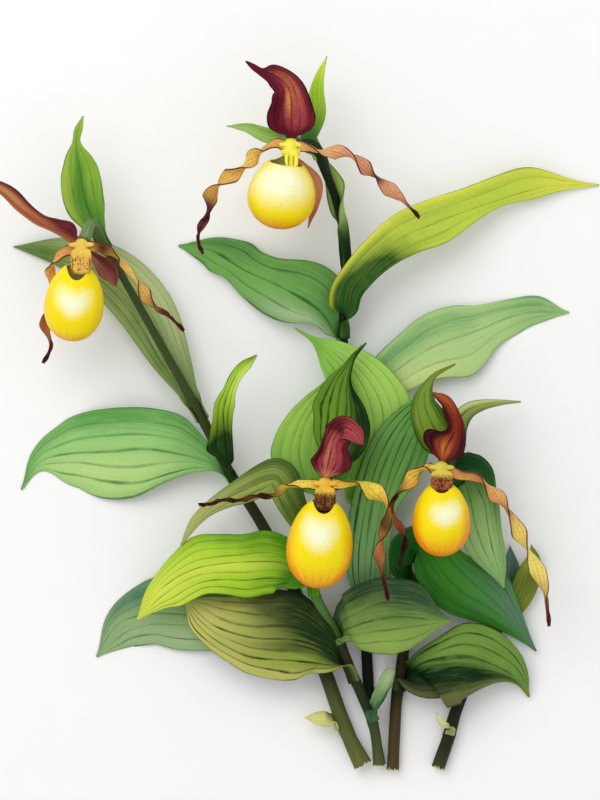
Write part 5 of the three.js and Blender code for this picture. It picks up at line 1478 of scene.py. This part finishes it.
# %% Petals
PETAL_POINTS = 260
PETAL_TAIL = 0.9                          # the least half width, which shrinks only at the very end
TAIL_END, TAIL_SHRINKS = 1.02, 0.06
PETAL_STRAY = 0.1
PLAIN_PETAL = dict(specks=0.6, rim=0.14, edge_ink=0.85, streak=0.5)
PETAL_LOOKS = {
    "petal_left_1": look_of(
        "d88a44 4c0c1c eab050 5a1020", 2, 0.8,
        deep_and_shade=[(0.62, 0.12, 0.8), (1.0, 0.22, 1.4)], glows=[(0.2, 0.2, 0.8)]),
    "petal_left_2": look_of(
        "e0a852 4a1418 ecc868 7a2c1c", 2, 0.8,
        deep_and_shade=[(0.1, 0.08, 0.9), (0.95, 0.3, 1.4)], glows=[(0.45, 0.2, 0.8)]),
    "petal_front_1": look_of(
        "e6b43c 160406 f4dc54 9a4a1c", 2, 0.7,
        deep_and_shade=[(0.85, 0.45, 2.6)], glows=[(0.12, 0.14, 0.9)]),
    "petal_front_2": look_of(
        "d8904c 420c18 f4da48 6a1c1c", 2, 0.8,
        deep_and_shade=[(0.5, 0.07, 1.1), (0.95, 0.25, 1.2)], glows=[(0.18, 0.22, 1.2)]),
    "petal_right_1": look_of(
        "cc6c2c 240606 f0c848 38100c", 2, 0.9,
        deep_and_shade=[(0.38, 0.1, 1.2), (1.0, 0.35, 1.7)], glows=[(0.12, 0.16, 1.1)]),
    "petal_right_2": look_of(
        "e2a45c 5a1220 f6e870 8a4a30", 2, 0.7,
        deep_and_shade=[(0.97, 0.16, 1.4), (0.36, 0.04, 0.8)], glows=[(0.62, 0.2, 1.1)]),
    "petal_top_1": look_of(
        "dca44c 3c0820 eec860 8a3428", 2, 0.8,
        deep_and_shade=[(0.68, 0.09, 1.0), (1.0, 0.24, 1.5)], glows=[(0.3, 0.22, 0.7)]),
    "petal_top_2": look_of(
        "dc9a70 340a1c ecc068 9a4440", 2, 0.8,
        deep_and_shade=[(0.6, 0.05, 1.0), (1.0, 0.13, 1.6)], glows=[(0.1, 0.15, 0.7)]),
}


def petal_curve(name, flower, petal):
    """A curve object along a petal's line, with the half width as its radius and the twist as its tilt."""
    line = blade_line(flower, petal)
    u = np.linspace(0, 1, PETAL_POINTS)
    opened = smoothstep(u, FLORAL_BASE[0] * OPENS[0], FLORAL_BASE[0] * OPENS[1])
    half = np.maximum(lerp(FLORAL_BASE[1], through(petal["halves"], u), opened),
                      PETAL_TAIL * smoothstep(TAIL_END - u, 0, TAIL_SHRINKS))
    necks = petal["necks"]
    turns = [0, *((i + 0.5) / 2 for i in range(len(necks))), len(necks) / 2]
    data = bpy.data.curves.new(name + "_line", "CURVE")
    data.dimensions = "3D"
    spline = data.splines.new("POLY")
    spline.points.add(PETAL_POINTS - 1)
    places = np.column_stack([in_metres(at_share(line, u)), np.ones(PETAL_POINTS)])
    spline.points.foreach_set("co", places.ravel())
    spline.points.foreach_set("radius", half * MM)
    spline.points.foreach_set("tilt", 2 * np.pi * np.interp(u, [0, *necks, 1], turns))
    return new_object(name + "_line", data)


def plain_mesh(source):
    """The plain mesh that an object's modifiers make. The object itself is removed."""
    evaluated = source.evaluated_get(bpy.context.evaluated_depsgraph_get())
    mesh = bpy.data.meshes.new_from_object(evaluated)
    bpy.data.objects.remove(source)
    return mesh


def grow(source, tree, **sockets):
    """The plain mesh that a node tree makes from an object."""
    modifier = source.modifiers.new(tree.name, "NODES")
    modifier.node_group = tree
    for item in tree.interface.items_tree:
        key = item.name.replace(" ", "_")
        if item.in_out == "INPUT" and key in sockets:
            modifier[item.identifier] = sockets[key]
    return plain_mesh(source)


for flower_name, flower in FLOWERS.items():
    for side, petal in enumerate(flower["petals"], 1):
        name = f"petal_{flower_name}_{side}"
        look = PETAL_LOOKS[name]
        mesh = grow(petal_curve(name, flower, petal), PETAL)
        u, v = read_mark(mesh, "along"), read_mark(mesh, "across")
        write_mark(mesh, "ridge", v + PETAL_STRAY * drift(seed_of(name), u * 2, v))
        write_mark(mesh, "deep", washes(look["deep_and_shade"], u, v))
        write_mark(mesh, "glow", washes(look["glows"], u, v))
        write_mark(mesh, "under", np.zeros_like(u))
        shade_smooth(mesh)
        dress(name, mesh, leaf_material(name + "_finish", {**PLAIN_PETAL, "edge": look["deep"], **look}))
        print(name, "faces:", len(mesh.polygons))

# %% [markdown]
# ## The pouch
#
# The lip is blown up like a little slipper, open at the top, with its margin rolled inwards so that a bee
# finds no foothold. It is a round shell with a wall. Its back margin is drawn up to the receptacle as a
# claw.
#
# Each one has a painted highlight, a pale patch given by its share from the toe, its turn from the front
# and its reach.
# Next comes the strength of the golden shade painted on its sides; `toe` says how far up the orange shade
# painted at its toe reaches, and `streaks` its brown streaks.

# %% Pouches
POUCH_WALL = 0.9
POUCH_SIDES, POUCH_RINGS = 96, 64
RIM_SLOPE = math.radians(4)
RIM_RINGS, RIM_ROLL = 7, 0.03
DIP_POWER = 5
EGG = 0.12                                # how much narrower the mouth's end is than the toe's
CLAW_FROM, CLAW_POWER = 0.8, 6
FURROWS, FURROW, DENT = 14, 0.2, 0.12
# How strong the painted highlight is, and how far it reaches along the pouch
HIGHLIGHT_STRENGTH, HIGHLIGHT_HEIGHT = 1.1, 0.24
# Where the painted orange shade at the toe starts, and where the painted golden shade on the sides lies
TOE_FROM = 0.08
SIDES_FROM, SIDES_END = 0.6, (0.5, 0.95)
# Each pouch's painted highlight, painted golden and orange shade, and brown streaks
POUCH_LOOKS = {
    "left": dict(painted_highlight=(0.73, -0.05, 0.68), side_shade=0.25, toe=0.38, streaks=0.35),
    "front": dict(painted_highlight=(0.79, -0.08, 0.7), side_shade=0.75, toe=0.54, streaks=0.9),
    "right": dict(painted_highlight=(0.74, 0.2, 0.62), side_shade=1.0, toe=0.62, streaks=0.7),
    "top": dict(painted_highlight=(0.8, -0.1, 1.2), side_shade=0.35, toe=0.46, streaks=0.35),
}


def pouch_shell(flower, turn, share, wall):
    """Points of the pouch's wall: turn runs round it, share from toe to rim, wall inwards."""
    pouch = flower["pouch"]
    length, width, depth = pouch["half"]
    axis = unit(np.array(pouch["up"], float))
    side = unit(np.cross([0, 0, 1], axis))
    front = np.cross(axis, side)
    to_front = np.sin(turn)
    dipped = math.radians(pouch["dip"]) * np.maximum(0, to_front) ** DIP_POWER
    angle = share * (math.radians(pouch["rim"]) - RIM_SLOPE * to_front - dipped)
    girth = np.sin(angle) * (1 + EGG * np.cos(angle))
    point = (np.array(pouch["middle"], float) - axis * ((length - wall) * np.cos(angle))[..., None]
             + side * ((width - wall) * girth * np.cos(turn))[..., None]
             + front * ((depth - wall) * girth * to_front)[..., None])
    claw = smoothstep(share, CLAW_FROM, 1) * np.maximum(0, -to_front) ** CLAW_POWER
    seat = np.array(flower["receptacle"], float) - point
    apart = np.linalg.norm(seat, axis=-1)
    reach = np.maximum(apart - SEAT, 0)
    return point + seat / apart[..., None] * (claw * reach)[..., None]


def pouch_mesh(name, flower, look):
    """The pouch's closed shell with a rolled rim and faint furrows."""
    out = np.linspace(0, 1, POUCH_RINGS + 1)[1:]
    roll = np.linspace(0, np.pi, RIM_RINGS + 2)[1:-1]
    shares = np.concatenate([out, 1 + RIM_ROLL * np.sin(roll), out[::-1]])
    walls = np.concatenate([out * 0, POUCH_WALL * (1 - np.cos(roll)) / 2, out * 0 + POUCH_WALL])
    share, turn = np.meshgrid(shares, turns_round(POUCH_SIDES) - np.pi / 2, indexing="ij")
    wall = np.repeat(walls[:, None], POUCH_SIDES, axis=1)
    outside = 1 - wall / POUCH_WALL
    seed = seed_of(name)
    furrows = FURROW * (1 + np.cos(FURROWS * turn + seed)) * share * (1 - share)
    dent = DENT * (1 + drift(seed, share, turn / np.pi, 2)) + furrows
    rings = pouch_shell(flower, turn, share, wall + dent * outside)
    toe = pouch_shell(flower, np.zeros(2), np.zeros(2), np.array([0.0, POUCH_WALL]))
    # A painted highlight: a pale cream patch high on the front
    highlight_share, highlight_turn, reach = look["painted_highlight"]
    painted_highlight = HIGHLIGHT_STRENGTH * np.exp(-((share - highlight_share) / (HIGHLIGHT_HEIGHT * reach)) ** 2
                         - ((turn - np.pi / 2 - highlight_turn) / reach) ** 2)
    # Painted shade: orange at the toe and golden on the sides, both carried by the deep mark
    toe_shade = 1 - smoothstep(share, TOE_FROM, look["toe"])
    shaded_sides = smoothstep(np.abs(np.cos(turn)), SIDES_FROM, 1) * (1 - smoothstep(share, *SIDES_END))
    marks = dict(along=share, across=turn / np.pi, under=1 - outside, glow=painted_highlight,
                 deep=np.clip(toe_shade + look["side_shade"] * shaded_sides, 0, 1))
    return closed_rings(name, rings, toe, marks)


# %% [markdown]
# ## The pouch's finish
#
# The lip is waxy yellow, with a painted highlight as a pale patch on the upper part, painted orange shade
# at the toe and painted golden shade at the sides. A coat gives the waxy gloss. Inside the mouth the lining
# is pale, with red-brown dots.

# %% Pouch material
# The pouch's yellow, the orange of its painted shade, the cream of its painted highlight, the brown of its
# streaks, its lining and its mouth's dots
YELLOW, SHADE_ORANGE, HIGHLIGHT_CREAM, FURROW_BROWN, LINING, MOUTH_DOTS = (
    paint(code) for code in "ffe40c fb9200 ffffd8 a85a14 e2e6b4 8a2c14".split())
WAX = dict(Specular_IOR_Level=0.15, Coat_Weight=0.08, Coat_Roughness=0.25, Subsurface_Weight=0.1,
           Subsurface_Radius=(0.008, 0.006, 0.001), Subsurface_Scale=1.0)
POUCH_STREAKS_ROUND, POUCH_FURROWS_UP = 3.0, 3.0
POUCH_WASH = dict(Mottle=0.3, Streak=0.5, Saturation=1.16)
POUCH_FURROWS = dict(Count=9.0, Width=0.13, Waver=0.9, Broken=0.85)
STREAKS_FADE = (0.1, 0.45)                # shares over which the toe's brown streaks fade out
LINING_SHARE, DOT_INK = 0.75, 0.8
POUCH_DOTS = dict(Scale=650.0, Size=0.4, Cover=0.6)


def pouch_material(name, streaks):
    """The waxy yellow of one pouch."""
    material, t, shader = blank_material(name, 0.4, **WAX)
    side, along, inner = mark(t, "across"), mark(t, "along"), mark(t, "under")
    wash = place_group(t, WASH, Light=YELLOW, Deep=SHADE_ORANGE, Glow=HIGHLIGHT_CREAM, Deep_share=mark(t, "deep"),
                       Glow_share=mark(t, "glow"), Across=times(t, side, POUCH_STREAKS_ROUND), Along=along,
                       **POUCH_WASH)
    furrow = place_group(t, VEINS, Across=side, Along=times(t, along, POUCH_FURROWS_UP), **POUCH_FURROWS)
    low = ramp(t, along, *STREAKS_FADE, streaks, 0.0)
    streaked = blend(t, times(t, furrow["Line"], low), wash["Color"], FURROW_BROWN)
    lined = blend(t, times(t, inner, LINING_SHARE), streaked, LINING)
    dots = times(t, inner, place_group(t, SPECKLES, **POUCH_DOTS)["Mask"])
    finish_shader(t, shader, blend(t, times(t, dots, DOT_INK), lined, MOUTH_DOTS), wash["Grain"],
                  strength=0.12, depth=0.0002)
    return material


for name, flower in FLOWERS.items():
    whole, look = "pouch_" + name, POUCH_LOOKS[name]
    dress(whole, pouch_mesh(whole, flower, look), pouch_material(whole + "_finish", look["streaks"]))
print("pouch pieces:", len(FLOWERS))

# %% [markdown]
# ## The column
#
# Where other flowers have many stamens, an orchid has one fused organ. Here it is a knob at the receptacle,
# a shield-shaped staminode that hangs over the mouth, and an anther on either side. Round forms are set
# into one another and a Remesh modifier melts them into one skin. `slots` is how far the shield's two dark
# slots stand from its middle, and `cover` how much of it is dotted.

# %% Columns
BALL_ROWS, BALL_SIDES = 24, 36
MELT = 0.00024                            # the size of a voxel in metres
COLUMN_FORMS = [
    # middle from the receptacle, half sizes, tilt about X in degrees
    ((0, 0, 0), (3.6, 3.6, 3.6), 0),
    ((0, -3.2, 3.0), (2.5, 4.0, 1.8), -30),
    ((3.1, -3.6, 2.2), (1.7, 2.1, 1.5), 15),
    ((-3.1, -3.6, 2.2), (1.7, 2.1, 1.5), 15),
    ((0, -7.6, 2.2), (2.3, 1.8, 1.6), 0),
    ((3.4, 0.4, 1.4), (3.0, 1.3, 1.2), 0),
    ((-3.4, 0.4, 1.4), (3.0, 1.3, 1.2), 0),
]
SHIELD_MIDDLE, SHIELD_HALF = 0.57, 0.43   # shares of the column's reach
SHIELD_THICK = 2.2
SHIELD_BLUNT = 0.55                       # the power that turns a ball into a blunter form
KEEL_DEPTH, KEEL_WIDTH, SHIELD_CUP = 0.5, 0.13, 0.3
ON_SHIELD = (0.2, 0.5)                    # shares of the reach over which the shield's colour comes in
SLOT_WIDTH = 0.4
SLOT_FROM, SLOT_TO = (0.35, 0.5), (-0.92, -0.8)
COLUMN_DOTS = dict(Scale=850.0, Size=0.5)
SLOT_INK = 0.85
COLUMN_GLOW = "f6ec9a"
COLUMN_LOOKS = {
    "left": dict(light="ecca50", deep="c8782c", spots="7a3414", cover=0.4, slots=4.3),
    "front": dict(light="f2be34", deep="581608", spots="140404", cover=1.0, slots=0.0),
    "right": dict(light="dcca44", deep="9a4a18", spots="3c0a0a", cover=0.9, slots=0.0),
    "top": dict(light="f8ee48", deep="eace2c", spots="6a5a14", cover=0.12, slots=1.2),
}


def ball(middle, half, tilt, shield=False):
    """Points and faces of a ball stretched to the half sizes, or drawn into the grooved shield."""
    polar = np.linspace(0, np.pi, BALL_ROWS + 1)[1:-1]
    p, t = np.meshgrid(polar, turns_round(BALL_SIDES), indexing="ij")
    rings = np.stack([np.sin(p) * np.cos(t), np.cos(p), np.sin(p) * np.sin(t)], axis=-1)
    local = np.vstack([rings.reshape(-1, 3), [[0, 1, 0], [0, -1, 0]]])
    if shield:
        local = np.sign(local) * np.abs(local) ** SHIELD_BLUNT
        local[:, 2] -= KEEL_DEPTH * np.exp(-(local[:, 0] / KEEL_WIDTH) ** 2) * (local[:, 2] > 0)
        local[:, 2] += SHIELD_CUP * local[:, 0] ** 2
    x, y, z = (local * half).T
    c, s = math.cos(math.radians(tilt)), math.sin(math.radians(tilt))
    local = np.stack([x, y * c - z * s, y * s + z * c], axis=-1)
    return local + middle, ring_faces(local, len(polar), BALL_SIDES)


def column_mesh(name, flower, look):
    """The knob, shield and anthers of one column, melted into one skin, with the marks of its finish."""
    end, half = np.array(flower["column"]["end"], float), flower["column"]["half"]
    shield = (end * SHIELD_MIDDLE, (half, SHIELD_HALF * np.linalg.norm(end), SHIELD_THICK),
              -math.degrees(math.atan2(end[2], -end[1])), True)
    points, faces = np.empty((0, 3)), []
    for form in [*COLUMN_FORMS, shield]:
        more, new_faces = ball(*form)
        faces += [[len(points) + i for i in face] for face in new_faces]
        points = np.vstack([points, more])
    receptacle = np.array(flower["receptacle"], float)
    rough = new_object(name + "_forms", mesh_from(name + "_forms", points + receptacle, faces, {}))
    melt = rough.modifiers.new("melt", "REMESH")
    melt.mode, melt.voxel_size, melt.use_smooth_shade = "VOXEL", MELT, True
    mesh = plain_mesh(rough)
    places = np.zeros(len(mesh.vertices) * 3)
    mesh.vertices.foreach_get("co", places)
    x, y, _ = (places.reshape(-1, 3) / MM - receptacle - [*PLAN_SHIFT, 0]).T
    y = y / -end[1]
    write_mark(mesh, "deep", smoothstep(-y, *ON_SHIELD))
    slot = np.exp(-((np.abs(x) - look["slots"]) / SLOT_WIDTH) ** 2)
    for share, limits in ((-y, ON_SHIELD), (-y, SLOT_FROM), (y, SLOT_TO)):
        slot = slot * smoothstep(share, *limits)
    write_mark(mesh, "slot", slot)
    return mesh


def column_material(name, look):
    """The speckled yellow of one column."""
    material, t, shader = blank_material(name, 0.45, Specular_IOR_Level=0.15)
    on_shield, spots = mark(t, "deep"), paint(look["spots"])
    wash = place_group(t, WASH, Light=paint(look["light"]), Deep=paint(look["deep"]), Glow=paint(COLUMN_GLOW),
                       Deep_share=times(t, on_shield, look["cover"]), Glow_share=0.04, Mottle=0.8, Streak=0.0)
    dots = place_group(t, SPECKLES, Cover=look["cover"], **COLUMN_DOTS)["Mask"]
    dotted = blend(t, times(t, dots, on_shield), wash["Color"], spots)
    slotted = blend(t, times(t, mark(t, "slot"), SLOT_INK), dotted, spots)
    finish_shader(t, shader, slotted, wash["Grain"], strength=0.2, depth=0.0003)
    return material


for name, flower in FLOWERS.items():
    whole, look = "column_" + name, COLUMN_LOOKS[name]
    mesh = column_mesh(whole, flower, look)
    dress(whole, mesh, column_material(whole + "_finish", look))
    print("column faces:", len(mesh.polygons))

# %% [markdown]
# ## Down on the shoots
#
# Stems and ovaries of this orchid are downy with short hairs. A tree scatters points where the mesh asks
# for them, sets a fine cone on each, leans it a little and makes all of them real.

# %% Hair tree
HAIR_SIDES = 3
LEAN = 0.5
SHORTEST, LONGEST = 0.5, 1.1              # a hair's length, as shares of the plain one
FLOAT_MIN, FLOAT_MAX, FLOAT_OUT = 2, 3, 1     # a Random Value node's own sockets for a single number
HAIR, gin, gout = new_group(
    "down", "GeometryNodeTree", dict(Geometry="geometry"), Geometry="geometry", Density=300000.0,
    Length=0.0009, Thickness=0.00005, Seed=1, Material="material")
g = HAIR
spots = node(g, "GeometryNodeDistributePointsOnFaces", Mesh=gin["Geometry"], Seed=gin["Seed"],
             Density=times(g, gin["Density"], named(g, "down")))
cone = node(g, "GeometryNodeMeshCone", dict(fill_type="NONE"), Vertices=HAIR_SIDES,
            Radius_Bottom=gin["Thickness"], Depth=gin["Length"]).outputs[0]
lean = node(g, "FunctionNodeRandomValue", dict(data_type="FLOAT_VECTOR"), Min=(-LEAN,) * 3, Max=(LEAN,) * 3,
            Seed=gin["Seed"]).outputs[0]
way = node(g, "ShaderNodeVectorMath", dict(operation="ADD"))
g.links.new(spots.outputs["Normal"], way.inputs[0])
g.links.new(lean, way.inputs[1])
aim = node(g, "FunctionNodeAlignRotationToVector", dict(axis="Z"), Vector=way.outputs[0]).outputs[0]
size = node(g, "FunctionNodeRandomValue", dict(data_type="FLOAT"), Seed=gin["Seed"])
size.inputs[FLOAT_MIN].default_value = SHORTEST
size.inputs[FLOAT_MAX].default_value = LONGEST
tufts = node(g, "GeometryNodeInstanceOnPoints", Points=spots.outputs["Points"], Instance=cone, Rotation=aim,
             Scale=size.outputs[FLOAT_OUT]).outputs[0]
end_tree(g, tufts, gin, gout)

# %% [markdown]
# ## Growing the down
#
# The hairs catch light at the stem's edge, so they are pale. Only the flowering shoots carry them, more of
# them towards the ovary.

# %% Down
DOWN_GREEN, DOWN_PALE = "8a9a60", "c4cc98"
DOWN_PATCHES = 300.0


def patchy_colour(tree, shader, scale, detail, one, other):
    """Gives a shader soft patches of two colours."""
    patches = noise(tree, own_place(tree), scale, detail)
    tree.links.new(blend(tree, patches, one, other), shader.inputs["Base Color"])


down_material, t, shader = blank_material("down_finish", 0.6)
patchy_colour(t, shader, DOWN_PATCHES, 2.0, paint(DOWN_GREEN), paint(DOWN_PALE))
for name, piece in stem_pieces.items():
    if "flower" not in STEMS[name]:
        continue
    carrier = new_object("down_carrier", piece.data.copy())
    mesh = grow(carrier, HAIR, Seed=seed_of(name), Material=down_material)
    tuft = new_object(f"stem_{name}.down", mesh)
    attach(tuft, "root")
    print("hairs on", name, len(mesh.polygons) // HAIR_SIDES)

# %% [markdown]
# ## Floor and light
#
# The cut plant lies on a plain pale table. One wide lamp from the upper left and an even sky give soft
# light, with shadows that only say where the leaves touch.

# %% Stage
FLOOR_HALF = 3.0
FLOOR_DROP = 0.0002                       # the table lies this far under the plant
TABLE_TONES = (0.95, 0.95, 0.945, 1), (0.975, 0.975, 0.97, 1)
TABLE_PATCHES = 60.0
LAMP_PLACE, LAMP_SIZE, LAMP_POWER = (-0.7, 0.9, 1.6), 1.4, 14.0
LAMP_AIM = (0.0, 0.0, 0.02)
SKY = 0.76

floor_mesh = bpy.data.meshes.new("floor")
corners = [(x * FLOOR_HALF, y * FLOOR_HALF, -FLOOR_DROP) for x, y in ((-1, -1), (1, -1), (1, 1), (-1, 1))]
floor_mesh.from_pydata(corners, [], [(0, 1, 2, 3)])
floor_material, t, shader = blank_material("pale_table", 0.9, Specular_IOR_Level=0.1)
patchy_colour(t, shader, TABLE_PATCHES, 4.0, *TABLE_TONES)
floor_mesh.materials.append(floor_material)
floor = new_object("floor", floor_mesh)

lamp_data = bpy.data.lights.new("wide_lamp", "AREA")
lamp_data.size = LAMP_SIZE
lamp_data.energy = LAMP_POWER
lamp = new_object("wide_lamp", lamp_data)
lamp.location = LAMP_PLACE
lamp.rotation_euler = (Vector(LAMP_AIM) - Vector(LAMP_PLACE)).to_track_quat("-Z", "Y").to_euler()

world = bpy.data.worlds.new("studio")
world.use_nodes = True
sky = world.node_tree.nodes["Background"].inputs
sky["Color"].default_value = (1, 1, 1, 1)
sky["Strength"].default_value = SKY
bpy.context.scene.world = world
bpy.context.scene.view_settings.view_transform = "Standard"
print("stage ready")
